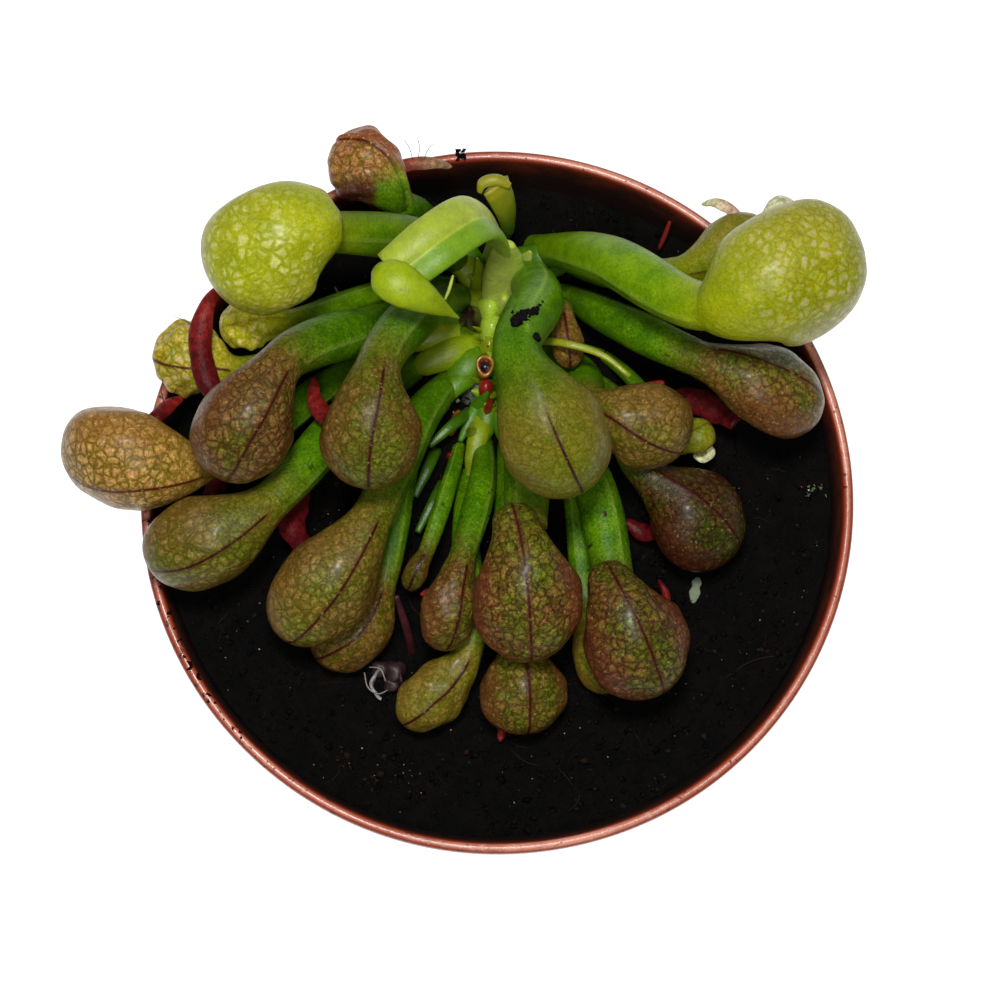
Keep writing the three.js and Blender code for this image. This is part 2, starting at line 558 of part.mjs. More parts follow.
// The rootstock, grown by an amount so that the same shape cuts its own bed in the soil
function crownSolid(grow) {
  const rings = [];
  const levels = [-0.9, -0.5, 0, 0.5, 0.85];
  const sides = 16;
  const middle = CROWN.top - CROWN.depth / 2;
  for (const level of levels) {
    const share = Math.sqrt(Math.max(0.04, 1 - level * level));
    const points = [];
    for (let i = 0; i < sides; i++) {
      const angle = (i / sides) * Math.PI * 2;
      const knob = 1 + 0.09 * Math.sin(angle * 5 + level * 2) + 0.05 * Math.cos(angle * 9);
      const x = CROWN.x + Math.cos(angle) * (CROWN.halfWidth * share * knob + grow);
      const y = CROWN.y + Math.sin(angle) * (CROWN.halfLength * share * knob + grow);
      points.push(new THREE.Vector3(x, y, middle + level * (CROWN.depth / 2 + grow)));
    }
    rings.push(points);
  }
  const bottom = new THREE.Vector3(CROWN.x, CROWN.y, middle - CROWN.depth / 2 - grow);
  const top = new THREE.Vector3(CROWN.x, CROWN.y, CROWN.top + grow);
  let solid = solidOf(loftGeometry(rings, bottom, top));
  for (let i = 0; i < ROOT_COUNT; i++) {
    const angle = (i / ROOT_COUNT) * Math.PI * 2 + 0.4;
    const out = new THREE.Vector2(Math.cos(angle), Math.sin(angle));
    const length = ROOT_LENGTH * (0.8 + 0.2 * Math.cos(i * 2.4));
    const route = [
      [CROWN.x + out.x * 3, CROWN.y + out.y * 7, middle],
      [CROWN.x + out.x * 8, CROWN.y + out.y * 11, middle - length * 0.3],
      [CROWN.x + out.x * 11, CROWN.y * 0.8 + out.y * 12, middle - length * 0.65],
      [CROWN.x + out.x * 10, CROWN.y * 0.7 + out.y * 13, middle - length - grow],
    ];
    const widths = [1.3, 1.15, 1, 0.7].map((width) => width + grow);
    solid = solid.add(slimSolid(route, widths, 5));
  }
  return solid;
}

const sockets = PITCHERS.map(pitcherSocket);
sockets.push(slimSocket(NEW_LEAF.stalk, NEW_LEAF.stalkWidths));
sockets.push(slimSocket(YOUNG_TUBE.route, YOUNG_TUBE.widths));
for (const leaf of SLIM_LEAVES) sockets.push(slimSocket(leaf.route, slimWidths(leaf.width)));

let crown = crownSolid(0);
let soil = soilBlock().subtract(crownSolid(BED_GAP)).subtract(driedCurlSocket());
for (const socket of sockets) {
  crown = crown.subtract(socket);
  soil = soil.subtract(socket);
}

addNode("pot", geometryOf(potSolid()), COLOUR.pot, 0.35);
addNode("soil", geometryOf(mainPiece(soil)), COLOUR.soil, 0.95);
addNode("crown_and_roots", geometryOf(mainPiece(crown)), COLOUR.crown, 0.7);
for (const pitcher of PITCHERS) {
  const young = ["pitcher_left_high", "pitcher_right_high"].includes(pitcher.name);
  const colour = young ? COLOUR.young : COLOUR.mature;
  addNode(pitcher.name, geometryOf(pitcherSolid(pitcher)), colour, 0.4);
}
addNode("new_leaf_folded", geometryOf(newLeafSolid()), COLOUR.young, 0.4);
addNode("young_tube", geometryOf(slimSolid(YOUNG_TUBE.route, YOUNG_TUBE.widths, 10)), COLOUR.young, 0.4);
for (const leaf of SLIM_LEAVES) {
  const colour = leaf.name.startsWith("dried") ? COLOUR.dried : COLOUR.slim;
  addNode(leaf.name, geometryOf(slimSolid(leaf.route, slimWidths(leaf.width), 6)), colour, 0.5);
}
addNode("dried_curl", geometryOf(driedCurlSolid()), COLOUR.dried, 0.6);

export default group;
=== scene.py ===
"""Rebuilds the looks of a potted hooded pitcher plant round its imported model.

Each piece has its own operator. Sizes are written in millimetres, as the plant was measured,
and are turned into metres when a mesh is made. The plant's frame: +Z up, +Y to the back, and
the origin in the middle of the pot's base.
"""

import math
import random
from collections import namedtuple

import bmesh
import bpy
import numpy as np
from mathutils import Matrix, Vector


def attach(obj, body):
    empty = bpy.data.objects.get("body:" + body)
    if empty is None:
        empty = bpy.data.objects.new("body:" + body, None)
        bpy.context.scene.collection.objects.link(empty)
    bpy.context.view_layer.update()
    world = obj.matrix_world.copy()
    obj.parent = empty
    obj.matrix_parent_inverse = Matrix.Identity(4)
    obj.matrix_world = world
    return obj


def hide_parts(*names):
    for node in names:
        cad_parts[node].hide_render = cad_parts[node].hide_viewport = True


bl_info = {
    "name": "Potted pitcher plant",
    "version": (1, 0, 0),
    "blender": (4, 5, 0),
    "location": "3D View > Sidebar > Pitcher plant",
    "description": "Builds a hooded pitcher plant in a round nursery pot",
    "category": "Add Mesh",
}

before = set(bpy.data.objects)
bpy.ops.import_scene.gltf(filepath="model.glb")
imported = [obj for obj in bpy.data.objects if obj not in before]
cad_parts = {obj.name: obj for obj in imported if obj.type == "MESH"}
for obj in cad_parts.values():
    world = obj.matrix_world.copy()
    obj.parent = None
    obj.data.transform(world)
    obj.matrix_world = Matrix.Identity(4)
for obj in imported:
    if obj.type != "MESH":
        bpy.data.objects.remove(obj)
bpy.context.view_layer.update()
MM = 0.001
TURN = 2 * math.pi

# Sizes that the pieces share, in millimetres
POT_HEIGHT = 105
RIM_RADIUS = 60
BASE_RADIUS = 42.5
SKIRT_DEPTH = 6
WALL = 1.1
FLOOR_THICKNESS = 1.8
SOIL_LEVEL = 97.3
SOIL_BUMP = 0.7
CROWN_CENTRE = (-0.5, 29)
LEAF_FOOT = 92
BASE_TAPER = 0.48
NECK_PINCH = 0.86
HOOD_FLATNESS = 0.82
WIDEST = 0.58
HEEL_END = 0.1
DRAIN_HOLES = 6
DRAIN_HOLE_RADIUS = 3.5
DRAIN_HOLE_PLACE = 31
DRAIN_HOLE_CUT = (-3, 5)

# How finely things are made, and the half widths above which a hood gets all its sides, a mouth
SOIL_SIDES = 420
SOIL_RINGS = 112
TUBE_ROWS = 46
SPREAD_ROWS = 40
CLOSING_ROWS = 26
ALL_SIDES_ABOVE = 6
MOUTH_ABOVE = 3

# A keel value so large that no keel line shows
NO_KEEL = 9.0
ROUTE_STEPS = 200
GOLDEN_ANGLE = 2.399963
CROWN_SEED = 11
FARTHEST_BASE = 19
CROWN_SCALES = 40
ROOTS = 6
ROOT_LENGTH = 42
DEBRIS_SEED = 23

# A height in metres that is above the whole plant
ABOVE_PLANT = 0.3

# The camera that looks down on the pot: the way to it, its distance in metres, its lens in pixels
CAMERA_WAY = (-0.03186595, -0.17016383, 0.98490042)
CAMERA_DISTANCE = 0.6
LENS_PIXELS = 3580.11
CENTRE_PIXEL = (498.295, 495.976)
PICTURE_PIXELS = 1000

# The look of a hood: how ripe it is, from young yellow-green, 0, to bronze, 1; how strongly pale
# windows show; how red it is; how lumpy; the power that shapes its shoulders; how light it is
# painted, which on pitcher_left_under is painted light where it lies in shade
Look = namedtuple("Look", "ripe pale rosy lumpy power light")
Pitcher = namedtuple(
    "Pitcher", "name foot knee neck crest front tube hood roll look tips heel", defaults=((), None)
)

# Each pitcher as in the part's own table: its points from the foot to the front of the hood, the
# half widths of tube and hood, the hood's turn in degrees, its look, its tongue's tips, its heel
PITCHERS = (
    Pitcher("pitcher_left_high", (-5.5, 42.5), (-13, 40.5, 119), (-29, 38.5, 132),
            (-35, 36.5, 137.5), (-45.5, 28.5, 131), 3.9, 10, -20,
            Look(0, 1.15, 0.15, 0.018, 0.5, 1.05), heel=(-26.5, 40.5, 135)),
    Pitcher("pitcher_left_under", (-12, 41), (-22, 34.5, 104), (-35, 28, 112.5), (-40, 27.5, 113.5),
            (-46.5, 27, 111), 2.4, 4.2, 0, Look(0.3, 0.9, 1.1, 0.06, 0.9, 2.2)),
    Pitcher("pitcher_left_rim", (-13.5, 36), (-28.5, 25, 105), (-43.5, 19.5, 113), (-49, 20.5, 114),
            (-57, 23.5, 111), 2.8, 6.3, -20, Look(0.55, 1, 1.1, 0.06, 0.9, 1.75)),
    Pitcher("pitcher_left_far", (-13.5, 31.5), (-29, 19, 103), (-47, 4, 114), (-58, 2.9, 116.5),
            (-71.5, 8.3, 112), 3.2, 9.4, -45, Look(0.86, 1, 1.3, 0.02, 0.85, 1.95)),
    Pitcher("pitcher_left_mid", (-9, 36), (-21, 27, 113), (-35, 18, 130), (-40, 10, 130.5),
            (-45.5, -0.5, 124), 4.3, 8.2, -32, Look(0.95, 0.6, 0.75, 0.02, 1.15, 1)),
    Pitcher("pitcher_left_low", (-10, 27.5), (-25, 13, 108), (-37, -2.5, 117), (-45.5, -8.5, 116.5),
            (-58, -12.5, 112), 3.9, 8, -28, Look(0.8, 0.75, 0.5, 0.02, 0.95, 0.88)),
    Pitcher("pitcher_front_left", (-5.5, 24.5), (-13.5, 12.5, 107), (-20, -3.5, 117),
            (-24.5, -11.5, 117.5), (-35.5, -25, 110.5), 3.9, 8.1, -25,
            Look(0.85, 0.6, 0.55, 0.025, 1.2, 1.02)),
    Pitcher("pitcher_centre_left", (-4.5, 37), (-12.5, 29, 119), (-20, 16.5, 134), (-21, 8.5, 135),
            (-21.5, -2.5, 128), 4.2, 8.1, -12, Look(0.9, 0.35, 0.3, 0.025, 0.9, 0.98)),
    Pitcher("pitcher_centre", (3, 42), (6, 30, 122), (2, 18, 137), (5, 10, 138),
            (12.5, -3.5, 130), 4.6, 8.9, -3, Look(0.62, 0.25, 0.4, 0.02, 1, 0.78)),
    Pitcher("pitcher_right_inner", (6.5, 29.5), (13.5, 20.5, 108), (15, 13, 120), (19.5, 10.5, 122),
            (30.5, 7.5, 117), 3.4, 7.6, 25, Look(0.85, 0.5, 1.1, 0.03, 0.95, 1.05),
            tips=((27, 17, 118),)),
    Pitcher("pitcher_right_rim", (10.5, 38.5), (19, 29.5, 110), (32, 21, 119), (39.5, 18, 119.5),
            (53, 13, 112), 3.6, 7.7, -30, Look(0.95, 0.35, 0.45, 0.025, 1.05, 1.1)),
    Pitcher("pitcher_right_low", (10, 26), (20, 14.5, 106), (23.5, 4, 111), (30, -1.5, 109.5),
            (39, -9.5, 103.5), 3.4, 8.5, -20, Look(1.2, 0.1, 0.35, 0.02, 1.15, 0.78)),
    Pitcher("pitcher_right_high", (6, 46), (18, 36.5, 122), (32.5, 25.5, 137), (41.5, 28.5, 140.5),
            (56.5, 35, 134), 4.6, 11.8, 28, Look(0, 1, 0.9, 0.012, 0.5, 0.92)),
    Pitcher("pitcher_right_under", (10, 44), (20, 37.5, 108), (29.5, 35.5, 119), (36, 37.5, 120.5),
            (44, 43, 117), 2.9, 6.2, 35, Look(0.4, 0.3, 0.1, 0.02, 1, 0.8)),
    Pitcher("pitcher_back_left", (-9, 48), (-13.5, 47.5, 108), (-17, 47.5, 117), (-20.8, 51.3, 119),
            (-27.2, 57.3, 116), 3, 6.3, -20, Look(0.93, 0.35, 2.2, 0.05, 0.8, 1.95)),
    Pitcher("pitcher_front_mid", (1, 26), (4.5, 6.5, 112), (4, -7, 117.5), (3.5, -13.5, 121),
            (5, -28.5, 112.5), 4.2, 9, 0, Look(1, 0.35, 0.3, 0.03, 1.45, 1.25),
            heel=(1.5, -4, 120.5)),
    Pitcher("pitcher_front_right", (5, 20.5), (15.5, 2, 109), (19, -16, 113), (20, -21, 117),
            (26, -33.5, 109), 3.9, 8.8, -8, Look(1.06, 0.35, 0.35, 0.03, 1.15, 1.1),
            heel=(16.5, -13, 116.5)),
    Pitcher("pitcher_front_small", (-2, 14), (-3, 0.5, 108), (-6, -11, 113), (-7.5, -17, 113),
            (-9.5, -26.5, 108.5), 2.6, 4.9, -25, Look(0.95, 0.2, 0.6, 0.04, 1, 1.05),
            tips=((-13, -17.5, 110),)),
    Pitcher("pitcher_front_low_left", (-4.5, 10.5), (-5.5, -7, 104), (-4.5, -25, 104.5),
            (-8.5, -31, 102.5), (-16, -38, 101), 2.6, 5.1, -15, Look(0.75, 0.3, 0.75, 0.045, 1, 1),
            tips=((-12.5, -31, 100),)),
    Pitcher("pitcher_front_low", (2, 16), (1.8, -3, 104), (3.5, -23, 105.5), (4, -29.5, 104.5),
            (4.5, -39.5, 100.8), 2.8, 7.4, -8, Look(0.95, 0.3, 0.35, 0.03, 0.95, 1.1),
            tips=((0.5, -40.5, 97.5),)),
    Pitcher("pitcher_front_hidden", (-9.5, 21.5), (-15.5, 5.5, 103), (-19, -14, 104),
            (-22.5, -21.5, 103), (-30.5, -27, 101), 2.6, 5.7, -10,
            Look(0.9, 0.1, 0.8, 0.03, 1, 1)),
    Pitcher("pitcher_front_slim", (11.5, 12), (13, 0.5, 101.6), (15, -18, 103), (16.5, -24.5, 102),
            (19, -32.5, 99.5), 2.4, 4.6, 0, Look(0.8, 0.1, 0.3, 0.02, 1, 1)),
    Pitcher("pitcher_right_tiny", (15.5, 29.5), (24, 19, 103), (29.5, 8.5, 105), (32, 9.5, 105.5),
            (36, 12, 106), 1.5, 3.2, 0, Look(0.35, 0.2, 0, 0.03, 1, 0.8)),
    Pitcher("pitcher_centre_slim", (9, 33.5), (10.5, 31.5, 109), (10.5, 29, 116), (11, 24, 117.5),
            (11.5, 19.5, 116.5), 1.9, 2.7, 0, Look(0.9, 0, 1.9, 0.02, 1, 1.3)),
    Pitcher("pitcher_juvenile", (-5.5, 14.5), (-8, 3, 103), (-12, -9.5, 106), (-13.5, -12.5, 106),
            (-15, -16, 104.5), 1.6, 2, 0, Look(0.9, 0, 0.3, 0.02, 1, 0.7)),
)

# The three that are still yellow-green, how light some tubes are painted, with pitcher_left_high's
# darker tube being painted shade, and whose hoods colour late
YOUNG = ("pitcher_left_high", "pitcher_right_high", "pitcher_centre")
TUBE_LIGHT = {"pitcher_left_high": 0.62, "pitcher_centre": 1.45}
LATE = ("pitcher_centre", "pitcher_back_left")

# The old hood's folded cap: the middle and radius of its fold, its hem, where the tongue shows
# below the hem, and how many times finer this pitcher is made
CAP = dict(
    pitcher="pitcher_back_left", x=-26.8, y=46.0, radius=11.2, hem=49.6, tongue_side=-20.6, finer=3
)

# Straps of the tongues that show: points from the mouth to the tip, half width, and the colours
# at the mouth and at the tip
TONGUES = {
    "pitcher_left_mid": [
        ([(-42, 12, 123.5), (-45.6, 13, 120.6), (-47.9, 16, 119.4), (-49.1, 20, 120.5),
          (-49.3, 24, 122), (-48.2, 28.5, 122.5), (-46.2, 32, 121.5)], 1.8, "maroon", "red")],
    "pitcher_left_far": [
        ([(-58, 6, 113), (-57.6, 10, 114), (-55.3, 13.2, 113), (-52.6, 15.6, 110)],
         1.2, "maroon", "red")],
    "pitcher_left_low": [
        ([(-46.5, -4, 109), (-47.5, -0.8, 107.2), (-46.8, 2, 106.4), (-45.3, 4.2, 105.5)],
         1.7, "maroon", "maroon")],
    "pitcher_front_left": [
        ([(-32, -10, 109.5), (-34.4, -5.6, 108), (-33.6, -2.1, 107), (-31.9, 1, 105.5)],
         2.1, "maroon", "maroon")],
    "pitcher_centre_left": [
        ([(-24, 9, 129), (-28.4, 10.5, 119), (-30.6, 14, 117), (-30.8, 18.2, 115)],
         1.5, "maroon", "red")],
    "pitcher_right_rim": [
        ([(40, 12.5, 108.5), (37.5, 14.5, 106), (33.8, 16.8, 104.3), (30.2, 18.8, 102.5)],
         2.3, "maroon", "maroon")],
    "pitcher_right_low": [
        ([(28, -4, 107), (25, -5.5, 102), (21.3, -3.4, 101.5)], 1.5, "maroon", "maroon")],
    "pitcher_right_high": [
        ([(47, 37, 135), (45.6, 42.5, 133), (45, 45.6, 130)], 3.4, "cream", "cream")],
    "pitcher_right_under": [
        ([(38, 41, 119), (39.2, 43, 122), (37.9, 45.1, 123), (35.4, 46.3, 123),
          (33.2, 46.5, 121)], 0.95, "pink", "cream"),
        ([(38, 41, 118.5), (38, 42.8, 121), (36.6, 43.3, 121.5)], 0.8, "pink", "cream")],
    "pitcher_back_left": [
        ([(-22, 53.5, 113), (-17.6, 55.2, 110), (-14.2, 56, 110.5), (-10.9, 56, 110.5),
          (-7.9, 55.8, 108.8)], 1.15, "red", "straw"),
        ([(-22.2, 53.2, 114), (-21.9, 52, 109.5), (-21.3, 50.6, 105), (-20.4, 49.2, 100.5)],
         1.0, "maroon", "maroon")],
    "pitcher_right_tiny": [
        ([(35.2, 9.6, 104.6), (35.8, 7.8, 103.6), (34.4, 7, 103.2), (33, 7.6, 103)],
         0.8, "cream", "cream")],
    "pitcher_front_right": [
        ([(26, -21, 108), (28, -17.5, 107.5), (26.6, -14.2, 107)], 0.6, "red", "maroon")],
}

# Thin first leaves, as routes from the foot to the tip, with the half width in the middle
SLIM_LEAVES = {
    "strand_right": ([[1.5, 30, 92], [4.5, 24.5, 114], [10, 22.5, 122.5], [16.5, 20.5, 122.5],
                      [21, 17, 122.5]], 0.7, "yellow"),
    "first_leaf_1": ([[-3, 18, 92], [-7.2, 13, 102], [-11.6, 9, 102.5]], 1, "slim"),
    "first_leaf_2": ([[-9.5, 12, 92], [-11.5, 6, 101], [-14, 0.5, 101]], 1, "slim"),
    "first_leaf_3": ([[-8, 6.5, 92], [-10.5, 0.5, 100.5], [-13.5, -5.5, 100.5]], 0.9, "slim"),
    "first_leaf_4": ([[-10, -4, 92], [-11.5, -8, 99.5], [-14, -12.5, 100.5]], 0.9, "slim"),
    "dried_spike": ([[-14, -27, 92], [-15, -23, 102], [-17, -17.5, 108.5]], 0.7, "purple"),
}

# The newest leaf's stalk and beak and the young tube: points, and half widths at even places
NEW_LEAF_STALK = [(-1.5, 42.5, 92), (-0.5, 40.5, 118), (-4.6, 40.4, 134.5), (-10.6, 35.6, 139.6),
                  (-17.8, 29.9, 138.7)]
NEW_LEAF_STALK_WIDTHS = [1.6, 1.9, 2.3, 2.8, 3.3, 3.8, 4.2, 4.4, 4.4, 4.0]
NEW_LEAF_BEAK = [(-20.4, 30.8, 138.9), (-18.2, 28.7, 140.7), (-13.6, 26.3, 139.8),
                 (-7.2, 23.8, 134.6)]
NEW_LEAF_BEAK_WIDTHS = [1.4, 3.0, 3.4, 3.2, 2.7, 2.1, 1.4, 0.7, 0.1]
YOUNG_TUBE = [(1.5, 47.5, 92), (1.6, 46, 106), (0.9, 47.1, 115), (-0.9, 49.9, 119.4)]
YOUNG_TUBE_WIDTHS = [1.4, 1.4, 1.4, 1.4, 1.45, 1.55, 1.7, 1.95, 2.25, 2.5]

# The strip of the dried curl: its middle, radius, lower and upper edge, and its turn in degrees
DRIED_CURL = dict(x=-18.5, y=-31, radius=2, foot=93.5, top=99.5, turn=250)

# Buds and nubs of the crown: centre, radii, colour, the way they lean, how pointed or knobby
BUDS = (
    ((-1.1, 35.8, 102.5), (1.6, 1.9, 6.0), "sheath", (0.05, 0.05, 1), dict(point=0.2)),
    ((0.8, 33.5, 101.0), (1.7, 1.7, 5.2), "sheath", (0.05, 0, 1), dict(point=0.2)),
    ((-1.4, 33.0, 100.4), (2.3, 2.2, 3.6), "crown_tip", (0, 0, 1), dict(knobs=0.08)),
    ((-1.2, 29.8, 100.3), (2.0, 2.5, 3.2), "crown_pale", (0.1, 0, 1), dict(knobs=0.1)),
    ((-1.4, 26.8, 100.2), (1.7, 2.0, 2.7), "lime", (0, -0.1, 1), dict(knobs=0.09, phase=2)),
    ((-6.3, 35.7, 100.2), (1.4, 1.8, 3.8), "bud_purple", (-0.15, 0.3, 1), dict(point=0.75)),
    ((-4.6, 31.4, 100.8), (2.3, 2.3, 4.2), "bud_purple", (-0.05, 0.1, 1), dict(point=0.3)),
    ((-1.8, 26.0, 101.0), (0.9, 0.8, 1.5), "bud_orange", (0.1, 0.1, 1), dict(point=0.4)),
    ((-2.0, 19.2, 101.6), (1.3, 1.6, 1.9), "bud_red", (0, 0.1, 1), dict(knobs=0.05)),
    ((-1.4, 16.4, 100.8), (0.9, 2.0, 1.5), "bud_red", (0.1, -0.2, 1), dict(point=0.4)),
    ((-4.4, 11.8, 100.5), (1.1, 1.3, 3.0), "lime", (0, 0, 1), dict(point=0.5)),
    ((-7.7, 7.9, 98.6), (1.1, 1.0, 1.4), "bud_red", (-0.2, 0, 1), dict(point=0.3)),
    ((-7.2, 13.5, 99.4), (0.9, 2.6, 1.2), "bud_orange", (0.3, -0.3, 1), dict(point=0.3)),
)

# The small open bud's cup from its foot over the rolled rim to its hollow: radius, height, colour;
# the black in the hollow is painted shade
CUP = ((0.9, 99.5, "bud_red"), (1.5, 101.3, "bud_red"), (1.8, 102.8, "bud_orange"),
       (1.7, 103.7, "bud_orange"), (1.4, 104.0, "lip_gold"), (1.1, 103.8, "bud_orange"),
       (0.95, 103.2, "bud_red"), (0.7, 102.7, "bud_purple"), (0.35, 102.5, "black"))

# Heaps of crumbs: place, height or None for the soil's own, colour, how many, how far apart, size
HEAPS = (
    (54.2, 2.2, None, "moss", 12, 0.7, 0.4), (52.6, 2.4, None, "white", 4, 0.5, 0.3),
    (-27, -42.8, None, "bark", 9, 0.8, 0.5), (-21, -47, None, "bark", 9, 0.9, 0.5),
    (-13.7, -46.1, None, "moss", 9, 1.6, 0.25), (27.4, -47.7, None, "bark", 9, 0.9, 0.5),
    (38, -7, None, "white", 1, 0.1, 0.25), (-6.3, 58.9, 105.1, "black", 9, 0.45, 0.6),
    (-6.4, 23.2, 99.6, "black", 14, 0.9, 0.8), (-8.5, 17.2, 98.8, "moss", 12, 1.1, 0.5),
    (-9.5, 19.5, 98.8, "black", 10, 1.2, 0.7),
)

# Dirt on the rim: how many places, the first one and the step in degrees, how far out, how high
RIM_DIRT = dict(count=26, first=166, step=2.3, radius=58.7, height=104.7)

# Clods that lie in a row on the middle pitcher's tube: place and radius
CLODS = ((1.7, 22.1, 1.0), (2.2, 23.2, 0.8), (3.0, 23.0, 0.7), (3.1, 24.1, 0.75), (4.0, 24.2, 0.7),
         (4.7, 24.6, 0.75), (5.2, 25.3, 0.5), (5.7, 26.1, 0.3), (6.2, 26.9, 0.22), (4.9, 19.7, 0.8))

# Threads that lie loose: points, width and colour; and the dark hairs that stand off old leaves
THREADS = (
    ([(-27.8, 37.5, 97.6), (-26.8, 35.5, 98.6), (-25.6, 33, 97.4)], 0.24, "paper"),
    ([(38, -30, 97.2), (43, -26.8, 97.9), (50, -25.5, 98.2)], 0.12, "bark"),
    ([(27.9, 44.6, 97), (28.8, 46.6, 98.6), (29.6, 48.8, 100.4)], 0.5, "red"),
)
HAIRS = (
    [(-14.6, 56.4, 110.6), (-15.2, 58, 112.5), (-16.2, 59.2, 114)],
    [(-13.8, 56.4, 110.6), (-13.5, 58, 112.5), (-13.9, 59.3, 114.5)],
    [(-12.8, 56.3, 110.4), (-12.2, 57.6, 112), (-11.2, 58.6, 113.5)],
    [(-54.5, 14.2, 112), (-53.4, 16.5, 114), (-51.6, 18.2, 115)],
    [(-55.4, 13.4, 113), (-56, 15.6, 115), (-55.6, 17.6, 116.5)],
    [(-49.6, 24, 121), (-51.4, 25.6, 122), (-53.6, 26.6, 122.4)],
)

# Colours by the name of what they are on, as linear red, green and blue
TINTS = {
    "yellow": (0.4, 0.44, 0.015),
    "fresh": (0.13, 0.3, 0.004),
    "purple": (0.1, 0.014, 0.02),
    "maroon": (0.1, 0.0055, 0.0075),
    "red": (0.27, 0.018, 0.014),
    "pink": (0.6, 0.33, 0.27),
    "cream": (0.75, 0.74, 0.4),
    "lime": (0.3, 0.4, 0.005),
    "lime_deep": (0.12, 0.22, 0.006),
    "lime_pale": (0.56, 0.66, 0.1),
    # Near-white green, lighter than the sheath is: painted light where the strap above shades it
    "sheath": (0.85, 1.0, 0.16),
    "slim": (0.06, 0.17, 0.003),
    "lip_gold": (0.5, 0.33, 0.03),
    "crown_green": (0.09, 0.26, 0.003),
    "crown_pale": (0.55, 0.78, 0.06),
    "crown_tip": (0.66, 0.936, 0.072),
    "crown_dark": (0.02, 0.03, 0.006),
    "bud_purple": (0.035, 0.008, 0.012),
    "bud_red": (0.33, 0.018, 0.01),
    "bud_orange": (0.36, 0.085, 0.012),
    "root": (0.06, 0.03, 0.014),
    "black": (0.002, 0.002, 0.002),
    "peat": (0.005, 0.0035, 0.0025),
    "peat_brown": (0.008, 0.005, 0.0035),
    "bark": (0.022, 0.012, 0.007),
    "straw": (0.35, 0.24, 0.12),
    "white": (0.75, 0.74, 0.7),
    "grey": (0.3, 0.3, 0.3),
    "moss": (0.16, 0.22, 0.1),
    "paper": (0.5, 0.42, 0.36),
}


class Route:
    """A smooth route through points, walked by the share of its length."""

    def __init__(self, points):
        self.points = np.array(points, float)
        self.steps = np.linspace(0, 1, ROUTE_STEPS + 1)
        legs = np.linalg.norm(np.diff(self.place(self.steps), axis=0), axis=1)
        self.walked = np.concatenate([[0], np.cumsum(legs)])
        self.length = self.walked[-1]
        self.middle = self.walked[ROUTE_STEPS // 2] / self.length

    def place(self, step):
        """Points at steps from 0 to 1, where the given points lie at even steps."""
        points = self.points
        spans = len(points) - 1
        span = np.minimum((step * spans).astype(int), spans - 1)
        share = (step * spans - span)[:, None]
        padded = np.vstack([2 * points[0] - points[1], points, 2 * points[-1] - points[-2]])
        p0, p1, p2, p3 = (padded[span + k] for k in range(4))
        d0, d1, d2 = (
            np.sqrt(np.linalg.norm(b - a, axis=1))[:, None]
            for a, b in ((p0, p1), (p1, p2), (p2, p3))
        )
        leave = ((p1 - p0) / d0 - (p2 - p0) / (d0 + d1) + (p2 - p1) / d1) * d1
        arrive = ((p2 - p1) / d1 - (p3 - p1) / (d1 + d2) + (p3 - p2) / d2) * d1
        cubic = 2 * p1 - 2 * p2 + leave + arrive
        square = 3 * p2 - 3 * p1 - 2 * leave - arrive
        return ((cubic * share + square) * share + leave) * share + p1

    def step_at(self, share):
        """The step at a share of the length."""
        return np.interp(np.asarray(share, float) * self.length, self.walked, self.steps)

    def at(self, share):
        """Points at shares of the length."""
        return self.place(self.step_at(np.atleast_1d(share)))

    def heading(self, share):
        """Directions along the route at shares of the length."""
        step = self.step_at(np.atleast_1d(share))
        ahead = self.place(np.minimum(step + 1e-4, 1)) - self.place(np.maximum(step - 1e-4, 0))
        return ahead / np.linalg.norm(ahead, axis=1)[:, None]


def unit(vectors):
    """Directions of length 1."""
    return vectors / np.linalg.norm(vectors, axis=-1, keepdims=True)


def smooth(x):
    """0 below 0, 1 above 1, and an even curve between."""
    x = np.clip(x, 0, 1)
    return x * x * (3 - 2 * x)


def heading_side(start, end):
    """The level direction to the right of the way from start to end."""
    way = np.array(end, float) - np.array(start, float)
    way[2] = 0
    way = way / np.linalg.norm(way)
    return np.array([way[1], -way[0], 0])


def frames_on(route, shares, side, turns=0.0):
    """Centres, headings, and the directions across and to the back at shares of a route."""
    centre = route.at(shares)
    heading = route.heading(shares)
    across = unit(side - heading * (heading @ side)[:, None])
    back = np.cross(across, heading)
    c = np.cos(np.broadcast_to(turns, len(centre)))[:, None]
    s = np.sin(np.broadcast_to(turns, len(centre)))[:, None]
    return centre, heading, across * c - back * s, back * c + across * s


def rings_on(spot, angles, width, height, reach=1.0):
    """Rings of points round each centre of a set of frames."""
    centre, _, across, back = spot
    wide = np.cos(angles) * np.asarray(width)[:, None] * reach
    high = np.sin(angles) * np.asarray(height)[:, None] * reach
    return centre[:, None] + across[:, None] * wide[..., None] + back[:, None] * high[..., None]


